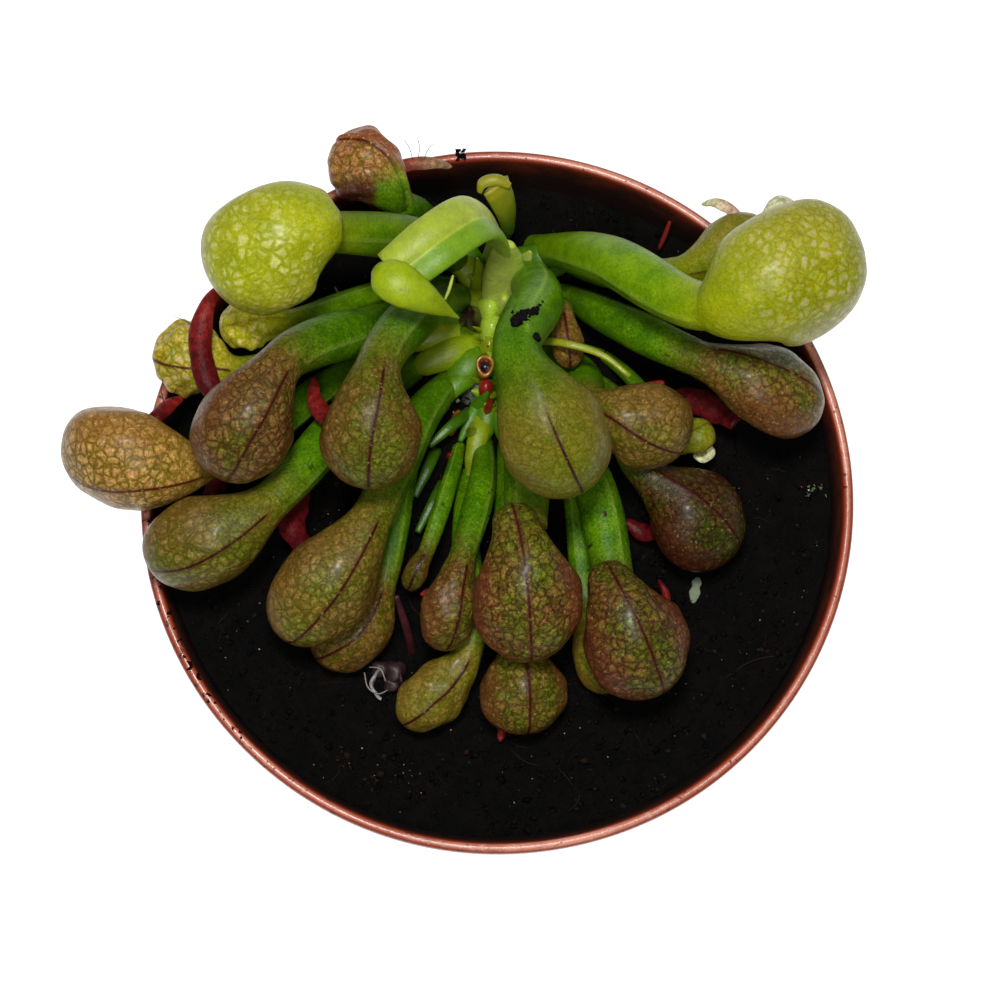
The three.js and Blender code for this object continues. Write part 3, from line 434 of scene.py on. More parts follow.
class Draft:
    """Gathers points, faces and values in millimetres, then makes one mesh object of them."""

    VALUES = (
        "keel", "hood", "edge", "mouth", "lip", "tongue", "wing", "ripe", "pale", "rosy", "light",
    )

    def __init__(self):
        self.points, self.faces, self.corners, self.values, self.tints = [], [], [], [], []
        self.count = 0

    def add(self, points, faces, corners=None, tint=(0.5, 0.5, 0.5), **values):
        """Adds points and faces of three or four corners. Values are one number or one a point."""
        points = np.asarray(points, float)
        n = len(points)
        self.points.append(points)
        for k, face in enumerate(faces):
            self.faces.append(np.asarray(face) + self.count)
            if corners is None:
                self.corners.append(np.zeros((len(face), face.shape[1], 2)))
            else:
                self.corners.append(corners[k])
        self.values.append({key: np.broadcast_to(value, n) for key, value in values.items()})
        self.tints.append(np.broadcast_to(np.asarray(tint, float), (n, 3)))
        self.count += n

    def tube(self, rings, start, end, along=None, tint=(0.5, 0.5, 0.5), **values):
        """Adds a closed body through rings, with both ends drawn together to a point."""
        rows, columns = rings.shape[:2]
        along = np.linspace(0, 1, rows) if along is None else np.asarray(along)
        r, c = np.meshgrid(np.arange(rows - 1), np.arange(columns), indexing="ij")
        r, c = r.ravel(), c.ravel()
        right = (c + 1) % columns
        here, above = r * columns, (r + 1) * columns
        quads = np.stack([here + c, above + c, above + right, here + right], 1)
        low, high = along[r], along[r + 1]
        u0, u1 = c / columns, (c + 1) / columns
        quad_corners = np.stack(
            [np.stack(pair, 1) for pair in ((u0, low), (u0, high), (u1, high), (u1, low))], 1
        )
        c = np.arange(columns)
        right = (c + 1) % columns
        first, last = rows * columns, (rows - 1) * columns
        start_fan = np.stack([np.full(columns, first), c, right], 1)
        end_fan = np.stack([np.full(columns, first + 1), last + right, last + c], 1)
        u = np.stack([(c + 0.5) / columns, c / columns, (c + 1) / columns], 1)
        start_corners = np.stack([u, np.full_like(u, along[0])], 2)
        end_corners = np.stack([u[:, [0, 2, 1]], np.full_like(u, along[-1])], 2)
        points = np.vstack([rings.reshape(-1, 3), start, end])

        def with_ends(value):
            value = np.asarray(value, float)
            if value.ndim == 2:
                flat = value.ravel()
            elif value.ndim == 1 and len(value) == rows:
                flat = np.repeat(value, columns)
            else:
                return value
            return np.concatenate([flat, [flat[0], flat[-1]]])

        tint = np.asarray(tint, float)
        if tint.shape == (rows, columns, 3):
            tint = np.vstack([tint.reshape(-1, 3), tint[0, 0], tint[-1, 0]])
        elif tint.shape == (rows, 3):
            tint = np.vstack([np.repeat(tint, columns, axis=0), tint[0], tint[-1]])
        self.add(
            points,
            [quads, start_fan, end_fan],
            [quad_corners, start_corners, end_corners],
            tint,
            **{key: with_ends(value) for key, value in values.items()},
        )

    def build(self, name, material):
        """The mesh object, smooth shaded."""
        mesh = bpy.data.meshes.new(name)
        mesh.vertices.add(self.count)
        mesh.vertices.foreach_set("co", (np.vstack(self.points) * MM).ravel())
        flat = np.concatenate([face.ravel() for face in self.faces])
        sizes = np.concatenate([np.full(len(face), face.shape[1]) for face in self.faces])
        mesh.loops.add(len(flat))
        mesh.loops.foreach_set("vertex_index", flat)
        mesh.polygons.add(len(sizes))
        mesh.polygons.foreach_set("loop_start", np.concatenate([[0], np.cumsum(sizes)[:-1]]))
        mesh.polygons.foreach_set("use_smooth", np.ones(len(sizes), bool))
        mesh.update(calc_edges=True)
        corners = np.concatenate([part.reshape(-1, 2) for part in self.corners])
        mesh.uv_layers.new(name="UVMap").data.foreach_set("uv", corners.ravel())
        for key in self.VALUES:
            if any(key in values for values in self.values):
                filled = np.concatenate(
                    [
                        np.asarray(values.get(key, np.zeros(len(points))), float)
                        for values, points in zip(self.values, self.points)
                    ]
                )
                mesh.attributes.new(key, "FLOAT", "POINT").data.foreach_set("value", filled)
        tints = np.vstack(self.tints)
        tints = np.hstack([tints, np.ones((len(tints), 1))])
        mesh.attributes.new("tint", "FLOAT_COLOR", "POINT").data.foreach_set("color", tints.ravel())
        mesh.validate()
        mesh.materials.append(material)
        piece = bpy.data.objects.new(name, mesh)
        bpy.context.scene.collection.objects.link(piece)
        return piece


def mark_sharp(mesh, degrees):
    """Keeps edges sharp that bend by more than an angle."""
    work = bmesh.new()
    work.from_mesh(mesh)
    limit = math.radians(degrees)
    for edge in work.edges:
        edge.smooth = len(edge.link_faces) == 2 and edge.calc_face_angle(0) < limit
    work.to_mesh(mesh)
    work.free()


def settle(piece, slot, *nodes):
    """Sets a piece on the plant's body, in the place of its nodes. The slot it is given is not
    used.
    """
    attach(piece, "root")
    if nodes:
        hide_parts(*nodes)


class Socket:
    """A shader value that takes part in sums: each operator adds its Math node."""

    def __init__(self, shade, link):
        self.shade = shade
        self.link = link

    def math(self, operation, *values):
        """Adds a Math node on values or sockets."""
        return self.shade.node("ShaderNodeMath", {"operation": operation}, dict(enumerate(values)))

    def __add__(self, other):
        return self.math("ADD", self, other)

    __radd__ = __add__

    def __sub__(self, other):
        return self.math("SUBTRACT", self, other)

    def __rsub__(self, other):
        return self.math("SUBTRACT", other, self)

    def __mul__(self, other):
        return self.math("MULTIPLY", self, other)

    __rmul__ = __mul__

    def __truediv__(self, other):
        return self.math("DIVIDE", self, other)

    def cap(self):
        """Kept from 0 to 1."""
        return self.math("MINIMUM", self.math("MAXIMUM", self, 0.0), 1.0)

    def step(self, low, high):
        """0 below low, 1 above high, and smooth between."""
        settings = {"interpolation_type": "SMOOTHSTEP"}
        return self.shade.node(
            "ShaderNodeMapRange", settings, {"Value": self, "From Min": low, "From Max": high}
        )


class Shade:
    """A material's node tree, with short ways to add to it."""

    def __init__(self, name):
        self.material = bpy.data.materials.new(name)
        self.material.use_nodes = True
        self.tree = self.material.node_tree
        self.surface = self.tree.nodes["Principled BSDF"]

    def node(self, kind, settings, values, output=0):
        """Adds a node: its settings first, then the values or links of its sockets."""
        node = self.tree.nodes.new(kind)
        for key, value in settings.items():
            setattr(node, key, value)
        for key, value in values.items():
            self.put(node.inputs[key], value)
        return Socket(self, node.outputs[output])

    def put(self, socket, value):
        """Links a socket or sets its own value."""
        if isinstance(value, Socket):
            self.tree.links.new(value.link, socket)
        elif isinstance(value, tuple) and len(value) == 3 and socket.type == "RGBA":
            socket.default_value = (*value, 1)
        else:
            socket.default_value = value

    def value(self, name):
        """A value that the mesh holds for each point."""
        return self.node("ShaderNodeAttribute", {"attribute_name": name}, {}, "Fac")

    def tint(self):
        """The colour that the mesh holds for each point."""
        return self.node("ShaderNodeAttribute", {"attribute_name": "tint"}, {}, "Color")

    def place(self):
        """The place on the piece, in metres."""
        return self.node("ShaderNodeTexCoord", {}, {}, "Object")

    def axis(self, letter):
        """The place along one axis, in millimetres."""
        return self.node("ShaderNodeSeparateXYZ", {}, {"Vector": self.place()}, letter) / MM

    def noise(self, per_mm, detail=3.0, rough=0.55):
        """Noise from 0 to 1 with that many features a millimetre."""
        values = {"Vector": self.place(), "Scale": per_mm / MM}
        values |= {"Detail": detail, "Roughness": rough}
        return self.node("ShaderNodeTexNoise", {}, values)

    def cells(self, per_mm, feature="F1", wander=0.0):
        """Cells with that many a millimetre, their walls bent by a wandering noise."""
        where = self.place()
        if wander:
            values = {"Vector": where, "Scale": per_mm * 0.8 / MM, "Detail": 2.0}
            drift = self.node("ShaderNodeTexNoise", {}, values, "Color")
            settings = {"operation": "MULTIPLY_ADD"}
            shift = (wander * MM,) * 3
            where = self.node("ShaderNodeVectorMath", settings, {0: drift, 1: shift, 2: where})
        values = {"Vector": where, "Scale": per_mm / MM}
        return self.node("ShaderNodeTexVoronoi", {"feature": feature}, values)

    def mix(self, share, low, high):
        """A colour between two colours."""
        factor, first, second, result = 0, 6, 7, 2
        settings = {"data_type": "RGBA", "clamp_factor": True}
        values = {factor: share, first: low, second: high}
        return self.node("ShaderNodeMix", settings, values, result)

    def scale(self, colour, factor):
        """A colour made lighter or darker by a factor."""
        values = {0: colour, "Scale": factor}
        return self.node("ShaderNodeVectorMath", {"operation": "SCALE"}, values)

    def bump(self, height, depth_mm, strength):
        """A surface that stands out by a height."""
        values = {"Height": height, "Distance": depth_mm * MM, "Strength": strength}
        return self.node("ShaderNodeBump", {}, values)

    def finish(self, colour, roughness, normal=None, **others):
        """Sets the surface's inputs, spaces in their names written as _, and gives the material."""
        self.put(self.surface.inputs["Base Color"], colour)
        self.put(self.surface.inputs["Roughness"], roughness)
        if normal is not None:
            self.put(self.surface.inputs["Normal"], normal)
        for key, value in others.items():
            self.put(self.surface.inputs[key.replace("_", " ")], value)
        return self.material


def pot_plastic(settings):
    """Terracotta-coloured plastic, dusty and scuffed at the rim, with painted glints and a painted
    highlight on its crest and painted shade on its sides, and painted shade and stains inside.
    """
    shade = Shade("pot_plastic")
    height = shade.axis("Z")
    cloud = shade.noise(0.03, 3)
    fine = shade.noise(1.6, 5, 0.6)
    first, second = tuple(settings.colour), tuple(settings.shade_colour)
    colour = shade.mix(cloud.step(0.3, 0.8) * 0.6, first, second)
    inside = shade.value("edge")
    stain = shade.noise(0.14, 5, 0.65).step(0.42, 0.62)
    # Painted shade inside the pot: the inner wall is darkened to near black, less so near the top
    deep = inside * (1 - height.step(POT_HEIGHT - 7, POT_HEIGHT - 1) * 0.35)
    colour = shade.mix(deep, colour, (0.017, 0.0038, 0.0025))
    colour = shade.mix(inside * stain * 0.7, colour, (0.012, 0.005, 0.004))
    # Painted shade on the rim's sides, darker red around the crest's highlight
    rim_side_shade = height.step(POT_HEIGHT - 2.6, POT_HEIGHT - 1.0) * 0.55
    colour = shade.mix(rim_side_shade, colour, (0.24, 0.026, 0.009))
    # Painted highlight along the rim's crest, broken into patches
    top = height.step(POT_HEIGHT - 0.4, POT_HEIGHT - 0.06)
    highlight_patches = shade.noise(0.12, 4, 0.6).step(0.35, 0.6)
    colour = shade.mix(top * (0.4 + 0.35 * highlight_patches), colour, (0.95, 0.42, 0.3))
    # Pale scuffs and specks on the crest: partly wear and dust, partly painted glints
    scuff_and_glint = shade.noise(0.5, 6, 0.72).step(0.53, 0.66)
    specks_and_glints = shade.noise(2.2, 3, 0.6).step(0.6, 0.7)
    colour = shade.mix(top * (scuff_and_glint * 0.4 + specks_and_glints * 0.4).cap(), colour, (0.95, 0.68, 0.6))
    left = (0 - shade.axis("X")).step(15, 52)
    dirt = (shade.noise(0.8, 4, 0.65) + left * 0.06).step(0.62, 0.68)
    colour = shade.mix(dirt * height.step(96, 103) * 0.9, colour, (0.03, 0.012, 0.008))
    rough = 0.18 + 0.16 * fine + scuff_and_glint * top * 0.2 + inside * 0.3 + dirt * 0.2
    normal = shade.bump(fine + scuff_and_glint * 0.6 + dirt, 0.06, 0.55)
    constants = dict(Coat_Weight=0.12, Coat_Roughness=0.15, Specular_IOR_Level=0.4)
    return shade.finish(colour, rough, normal, **constants)


def potting_mix():
    """Near black moist peat with brown crumbs."""
    shade = Shade("potting_mix")
    clumps = shade.noise(0.22, 6, 0.7)
    fine = shade.noise(1.8, 6, 0.7)
    colour = shade.mix(clumps.step(0.4, 0.7), (0.0012, 0.001, 0.0008), (0.0038, 0.0026, 0.002))
    colour = shade.mix(fine.step(0.58, 0.75), colour, (0.012, 0.008, 0.0055))
    crumb = shade.cells(1.1)
    normal = shade.bump(fine + clumps * 0.8 - crumb * 0.6, 0.45, 1.0)
    return shade.finish(colour, 0.6 + 0.35 * fine, normal, Specular_IOR_Level=0.12)


class LeafSkin(Shade):
    """Waxy pitcher skin: green tube, netted hood with windows, dark keel, red lip and tongue."""

    def __init__(self, settings):
        super().__init__("leaf_skin")
        self.settings = settings
        self.ripe, self.pale, self.rosy, self.edge, self.hood = (
            self.value(name) for name in ("ripe", "pale", "rosy", "edge", "hood")
        )
        self.broad = self.noise(0.075, 3)
        self.drift = self.noise(0.2, 4, 0.6)
        self.fine = self.noise(0.9, 4, 0.65)
        self.pits = self.noise(1.7, 3, 0.65)
        self.grain = self.noise(2.3, 4, 0.75)
        self.mottle = self.drift.step(0.36, 0.64)
        walls = self.cells(0.58, "DISTANCE_TO_EDGE", wander=1.5)
        small_walls = self.cells(1.25, "DISTANCE_TO_EDGE", wander=1.0)
        self.line = 1 - walls.step(0.0, 0.15)
        self.small_line = 1 - small_walls.step(0.0, 0.18)
        self.pane = walls.step(0.07, 0.32)

    def tube_colour(self):
        """Green with darker drifts and pale dots, blotched when ripe, with a pale wing and seam
        that are partly a painted highlight.
        """
        tube = self.mix(self.mottle, (0.055, 0.165, 0.0015), (0.115, 0.265, 0.002))
        young = self.mix(self.mottle, (0.13, 0.28, 0.0015), (0.22, 0.39, 0.003))
        tube = self.mix(self.ripe.step(0.0, 0.5), young, tube)
        tube = self.mix(self.fine.step(0.5, 0.78) * 0.45, tube, (0.025, 0.075, 0.001))
        dots = 1 - self.cells(0.75).step(0.08, 0.2)
        tube = self.mix(dots * 0.25, tube, (0.4, 0.5, 0.15))
        blots = self.noise(0.36, 3, 0.5).step(0.67, 0.71) * self.ripe
        tube = self.mix(blots * 0.85, tube, (0.03, 0.006, 0.004))
        # Paler along the wing's edge and the side seam: partly the leaf's own colour, partly a
        # painted highlight
        return self.mix(self.value("wing") * 0.75, tube, (0.28, 0.42, 0.05))

    def young_colour(self):
        """Yellow-green, with pale windows between thin brown veins."""
        first, second = tuple(self.settings.young), tuple(self.settings.young_light)
        patch = self.noise(0.28, 3).step(0.36, 0.6)
        young = self.mix(self.mottle, first, second)
        window = self.mix(self.rosy * 1.1, (0.66, 0.66, 0.16), (0.72, 0.54, 0.26))
        young = self.mix(self.pane * self.pale * (0.1 + 0.7 * patch), young, window)
        veins = self.line * self.pale * (0.2 + 0.5 * self.rosy) * (1 - 0.6 * patch)
        young = self.mix(veins, young, (0.3, 0.17, 0.006))
        return self.mix(self.edge * 0.3, young, (0.5, 0.42, 0.07))

    def ripe_colour(self):
        """Bronze over green, with glassy windows, dark veins and pits, and a red edge."""
        brown = self.broad * 0.7 + self.drift * 0.45 + self.fine * 0.6
        brown = (brown + self.rosy * 0.26 + self.edge * 0.28).step(0.88, 1.2)
        green, bronze = tuple(self.settings.mature_green), tuple(self.settings.mature)
        ripe = self.mix(brown, green, bronze)
        glass = self.mix(brown, (0.27, 0.27, 0.01), (0.45, 0.22, 0.06))
        panes = self.pane * (0.3 + 0.65 * self.pale) * self.fine.step(0.3, 0.62)
        ripe = self.mix(panes, ripe, glass)
        ripe = self.mix(self.rosy * self.mottle * 0.35, ripe, (0.27, 0.08, 0.05))
        small_veins = self.small_line * 0.75 * self.pits.step(0.35, 0.6)
        ripe = self.mix(small_veins, ripe, (0.045, 0.013, 0.004))
        veins = self.line * (0.15 + 0.35 * self.pale + 0.8 * self.pits).cap()
        ripe = self.mix(veins, ripe, (0.04, 0.006, 0.003))
        ripe = self.mix(self.pits.step(0.56, 0.68) * 0.65, ripe, (0.02, 0.01, 0.003))
        ripe = self.mix(self.edge.step(0.35, 0.95) * 0.65, ripe, (0.13, 0.028, 0.012))
        return self.scale(ripe, 1 - 1.7 * (self.ripe - 1.0).cap())

    def hood_colour(self):
        """A young or ripe hood with its dark keel line and the shadow beside it."""
        keel = self.value("keel")
        skin = self.mix(self.ripe, self.young_colour(), self.ripe_colour())
        shadow = 1 - keel.step(0.2, 1.1)
        skin = self.mix(shadow * self.ripe * 0.4, skin, (0.085, 0.025, 0.008))
        crease = 1 - keel.step(0.1, 0.36)
        line = crease * (0.06 + 0.9 * self.ripe.step(0.15, 0.6))
        return self.mix(line, skin, (0.045, 0.004, 0.003))

    def paint(self):
        """The finished material, with lip, painted shade in the mouth, tongue, painted glints, a
        light value that is partly painted light and shade, and relief.
        """
        colour = self.mix(self.hood, self.tube_colour(), self.hood_colour())
        colour = self.mix(self.value("lip") * 0.8, colour, (0.1, 0.012, 0.01))
        # Painted shade: the mouth's hollow is painted near black
        colour = self.mix(self.value("mouth"), colour, (0.02, 0.005, 0.004))
        # Painted glints: small pale flecks on the hood that stand in for tiny highlights
        painted_glints = self.noise(1.4, 2, 0.5).step(0.63, 0.71) * self.hood
        colour = self.mix(painted_glints * 0.35, colour, (0.46, 0.4, 0.13))
        # The light value scales the colour: partly the leaf's own tone, partly painted light and
        # shade on pitchers that lie in shade
        speckle = (self.grain.step(0.32, 0.7) - 0.5) * (0.4 + 0.4 * self.ripe)
        colour = self.scale(colour, self.value("light") * (speckle + 1))
        streak = self.noise(0.8, 4, 0.7).step(0.35, 0.7)
        flesh = self.scale(self.tint(), 0.6 + 0.9 * streak)
        colour = self.mix(self.value("tongue"), colour, flesh)
        relief = self.grain * 0.5 + self.pits * 0.9 + self.pane * self.hood * 0.35
        return self.finish(
            colour,
            0.26 + 0.14 * self.fine,
            self.bump(relief, 0.13, 1.0),
            Specular_IOR_Level=0.15,
            Coat_Weight=self.hood * (0.06 + 0.4 * self.fine.step(0.42, 0.66)),
            Coat_Roughness=0.24,
            Coat_IOR=1.38,
        )


def tinted(name, roughness, coat=0.0, relief=0.1, spread=0.45, shine=0.5):
    """A finish whose colour comes from each point's own tint, mottled and slightly rough."""
    shade = Shade(name)
    mottle = shade.noise(0.5, 4, 0.6)
    fine = shade.noise(2.4, 4, 0.6)
    share = 1 - spread / 2 + (mottle - 0.5) * spread * 1.6 + (fine - 0.5) * spread
    colour = shade.scale(shade.tint(), share)
    normal = shade.bump(fine + mottle, relief, 0.6)
    return shade.finish(colour, roughness + (fine - 0.5) * 0.2, normal, Coat_Weight=coat,
                        Coat_Roughness=0.15, Specular_IOR_Level=shine)


def outer_radius(z):
    """The pot's outer radius below its rim."""
    return BASE_RADIUS + (RIM_RADIUS - WALL - BASE_RADIUS) * z / (POT_HEIGHT - 2)


def soil_height(x, y):
    """Height of the soil's broad lumps, as in the part."""
    fall = 0.0006 * x * x - 0.0012 * y * y
    lumps = np.sin(x * 0.43 + 1.3) * np.cos(y * 0.37 - 0.6) + 0.6 * np.sin(x * 0.91 - y * 0.83)
    fine = 0.5 * np.sin(x * 1.7 + y * 0.9) * np.sin(y * 1.9 - x * 0.6)
    return SOIL_LEVEL + fall + SOIL_BUMP * 0.5 * (lumps + fine)


def soil_relief(x, y):
    """Height of the soil's crumbs on top of its broad lumps."""
    total = np.zeros_like(x)
    waves = ((0.31, 0.3, 0.0), (0.83, 0.3, 7.1), (1.9, 0.24, 3.3), (4.1, 0.16, 9.7))
    for scale, share, shift in waves:
        a = np.sin(x * scale * 2.1 + shift + 1.7 * np.sin(y * scale * 1.3 + shift))
        b = np.sin(y * scale * 2.3 - shift + 1.9 * np.sin(x * scale * 1.1 - shift))
        total += share * (1 - np.abs(a * b) * 2)
    return soil_height(x, y) + total * 0.9


def soil_top(x, y):
    """Height of the soil at one place."""
    return float(soil_relief(np.array([float(x)]), np.array([float(y)]))[0])


class PotSettings(bpy.types.PropertyGroup):
    colour: bpy.props.FloatVectorProperty(
        name="Colour", description="Colour of the pot's plastic", subtype="COLOR",
        default=(0.47, 0.075, 0.022), min=0, max=1,
    )
    shade_colour: bpy.props.FloatVectorProperty(
        name="Second colour", description="Darker colour that drifts through the plastic",
        subtype="COLOR", default=(0.32, 0.045, 0.014), min=0, max=1,
    )
    sides: bpy.props.IntProperty(
        name="Sides", description="Sides of the pot's round form", default=240, min=48, max=512,
    )


class SoilSettings(bpy.types.PropertyGroup):
    crumbs: bpy.props.IntProperty(
        name="Crumbs", description="Loose crumbs on the soil", default=9000, min=0, max=12000,
    )
    fibres: bpy.props.IntProperty(
        name="Fibres", description="Thin plant fibres on the soil", default=150, min=0, max=600,
    )
    # Tiny pale grains, which partly stand in for painted glints on the wet soil
    specks_and_glints: bpy.props.IntProperty(
        name="Specks", description="Tiny pale grains on the soil", default=260, min=0, max=2000,
    )
    seed: bpy.props.IntProperty(
        name="Seed", description="Start of the soil's random draws", default=7,
    )


class LeafSettings(bpy.types.PropertyGroup):
    sides: bpy.props.IntProperty(
        name="Sides", description="Points round each pitcher", default=56, min=16, max=128,
    )
    young: bpy.props.FloatVectorProperty(
        name="Young hood", description="Colour of a young hood", subtype="COLOR",
        default=(0.32, 0.385, 0.002), min=0, max=1,
    )
    young_light: bpy.props.FloatVectorProperty(
        name="Young hood, light", description="Lighter colour of a young hood", subtype="COLOR",
        default=(0.43, 0.475, 0.005), min=0, max=1,
    )
    mature: bpy.props.FloatVectorProperty(
        name="Ripe hood", description="Colour of a ripe hood", subtype="COLOR",
        default=(0.155, 0.06, 0.012), min=0, max=1,
    )
    mature_green: bpy.props.FloatVectorProperty(
        name="Ripe hood, green", description="Greener colour of a ripe hood", subtype="COLOR",
        default=(0.082, 0.12, 0.004), min=0, max=1,
    )


class StageSettings(bpy.types.PropertyGroup):
    key_power: bpy.props.FloatProperty(
        name="Key light", description="Power of the large soft light above", default=4.4,
        min=0, unit="POWER",
    )
    fill_power: bpy.props.FloatProperty(
        name="Fill light", description="Power of the soft light from the front", default=1.35,
        min=0, unit="POWER",
    )
    sky: bpy.props.FloatProperty(
        name="Sky", description="Strength of the even light all round", default=0.1, min=0, max=5,
    )


class PlantSettings(bpy.types.PropertyGroup):
    pot: bpy.props.PointerProperty(type=PotSettings, name="Pot", description="The pot")
    soil: bpy.props.PointerProperty(
        type=SoilSettings, name="Soil", description="The potting mix",
    )
    leaves: bpy.props.PointerProperty(
        type=LeafSettings, name="Leaves", description="The pitchers",
    )
    stage: bpy.props.PointerProperty(
        type=StageSettings, name="Stage", description="Floor and lights",
    )


def pot_profile():
    """The pot's section from the middle of its base, round the rim, to the middle of its floor.

    Its points are a radius and a height. With them comes the number of the first one inside.
    """
    top, skirt = POT_HEIGHT, POT_HEIGHT - SKIRT_DEPTH
    line = [(42.2 * share, 0) for share in (0.02, 0.2, 0.4, 0.6, 0.8, 0.93)]
    line += [(BASE_RADIUS - 1.5, 0), (BASE_RADIUS - 0.7, 0.25), (BASE_RADIUS - 0.1, 0.8)]
    line += [(outer_radius(z), z) for z in np.linspace(1.5, skirt - 0.4, 40)]
    line += [(outer_radius(skirt), skirt), (outer_radius(top - 2) - 0.25, top - 2.2)]
    line += [(RIM_RADIUS - inward, z) for inward, z in (
        (1.3, top - 2), (1.1, top - 2.3), (1.05, skirt + 0.6), (0.95, skirt + 0.1),
        (0.7, skirt), (0.62, skirt + 0.15), (0.58, skirt + 0.5), (0.14, top - 2.2),
    )]
    rim_middle, bead = RIM_RADIUS - 1.1, 0.95
    for degrees in range(0, 181, 12):
        angle = math.radians(degrees)
        line.append((rim_middle + bead * math.cos(angle), top - bead + bead * math.sin(angle)))
    turn_inside = len(line) - 4
    heights = np.linspace(top - 3.5, FLOOR_THICKNESS + 1, 36)
    line += [(outer_radius(z) - WALL, z) for z in heights]
    line += [(outer_radius(FLOOR_THICKNESS) - WALL - 0.5, FLOOR_THICKNESS + 0.2)]
    line += [(41 * share, FLOOR_THICKNESS) for share in (0.95, 0.8, 0.6, 0.4, 0.2, 0.02)]
    return np.array(line), turn_inside


def drain_posts(angles):
    """The posts that the drain holes are cut with."""
    low, high = DRAIN_HOLE_CUT
    ring = np.stack([np.cos(-angles), np.sin(-angles)], 1) * DRAIN_HOLE_RADIUS
    draft = Draft()
    for i in range(DRAIN_HOLES):
        angle = (i + 0.5) / DRAIN_HOLES * TURN
        centre = np.array([math.cos(angle), math.sin(angle)]) * DRAIN_HOLE_PLACE
        rings = [np.column_stack([ring + centre, np.full(len(ring), z)]) for z in (low, high)]
        draft.tube(np.stack(rings), [*centre, low], [*centre, high])
    return draft


class PLANT_OT_pot(bpy.types.Operator):
    """Build the nursery pot with its rolled rim, short skirt and drain holes"""

    bl_idname = "pitcher_plant.pot"
    bl_label = "Pot"

    def execute(self, context):
        settings = context.scene.pitcher_plant.pot
        profile, turn_inside = pot_profile()
        angles = np.linspace(0, TURN, settings.sides, endpoint=False)
        # The rim is never quite even: it waves a little in height and width
        near_top = smooth((profile[:, 1] - 90) / 15)[:, None]
        wave = 0.07 * np.sin(angles * 3 + 0.4) + 0.05 * np.sin(angles * 7 + 1.1)
        radius = profile[:, :1] + near_top * wave * 0.5
        height = profile[:, 1:] - near_top * (0.12 + wave)
        rings = np.stack([np.cos(-angles) * radius, np.sin(-angles) * radius,
                          np.broadcast_to(height, radius.shape)], 2)
        inside = np.zeros(len(profile))
        inside[turn_inside:] = 1
        draft = Draft()
        draft.tube(rings, [0, 0, 0], [0, 0, FLOOR_THICKNESS], edge=inside)
        pot = draft.build("nursery_pot", pot_plastic(settings))
        cutter = drain_posts(angles[::8]).build("drain_holes", pot.data.materials[0])
        cut = pot.modifiers.new("drain holes", "BOOLEAN")
        cut.operation = "DIFFERENCE"
        cut.object = cutter
        context.view_layer.update()
        whole = pot.evaluated_get(context.evaluated_depsgraph_get())
        finished = bpy.data.meshes.new_from_object(whole)
        pot.modifiers.clear()
        pot.data = finished
        bpy.data.objects.remove(cutter)
        mark_sharp(pot.data, 40)
        settle(pot, "pot_plastic", "pot")
        return {"FINISHED"}


def chip(draft, rng, centre, size, tint, flat=1.0):
    """One crumb: a small eight-faced body with uneven corners."""
    corners = np.array(
        [[1, 0, 0], [-1, 0, 0], [0, 1, 0], [0, -1, 0], [0, 0, flat], [0, 0, -flat]], float
    )
    corners *= np.array([[rng.uniform(0.5, 1.2)] for _ in range(6)])
    corners += np.array([[rng.uniform(-0.4, 0.4) for _ in range(3)] for _ in range(6)])
    angle = rng.uniform(0, TURN)
    axle = Vector((rng.uniform(-1, 1), rng.uniform(-1, 1), rng.uniform(0.2, 1))).normalized()
    turn = np.array(Matrix.Rotation(angle, 3, axle))
    upper = [[0, 2, 4], [2, 1, 4], [1, 3, 4], [3, 0, 4]]
    lower = [[2, 0, 5], [1, 2, 5], [3, 1, 5], [0, 3, 5]]
    draft.add(corners @ turn.T * size + np.array(centre), [np.array(upper + lower)], tint=tint)


def strand(draft, points, width, tint, sides=5, rows=10):
    """A thin fibre along a route."""
    route = Route(points)
    shares = np.linspace(0, 1, rows)
    side = heading_side(points[0], np.array(points[-1]) + [1e-3, 0, 0])
    widths = width * np.sin(np.pi * (0.12 + 0.76 * shares)) ** 0.5
    angles = np.linspace(0, TURN, sides, endpoint=False)
    spot = frames_on(route, shares, side)
    draft.tube(rings_on(spot, angles, widths, widths), route.at(0)[0], route.at(1)[0], tint=tint)


def soil_body(inner):
    """The filled potting mix inside a radius, with its uneven top."""
    angles = -np.linspace(0, TURN, SOIL_SIDES, endpoint=False)
    floor = FLOOR_THICKNESS + 0.4
    rows = []
    for radius in (6, outer_radius(floor) - WALL - 0.7):
        rows.append(np.stack([np.cos(angles) * radius, np.sin(angles) * radius,
                              np.full(len(angles), floor)], 1))
    for radius in (inner + 0.1, *np.linspace(inner - 0.3, 0.3, SOIL_RINGS)):
        x, y = np.cos(angles) * radius, np.sin(angles) * radius
        rows.append(np.stack([x, y, soil_relief(x, y)], 1))
    draft = Draft()
    draft.tube(np.stack(rows), [0, 0, floor], [0, 0, soil_top(0, 0)])
    return draft


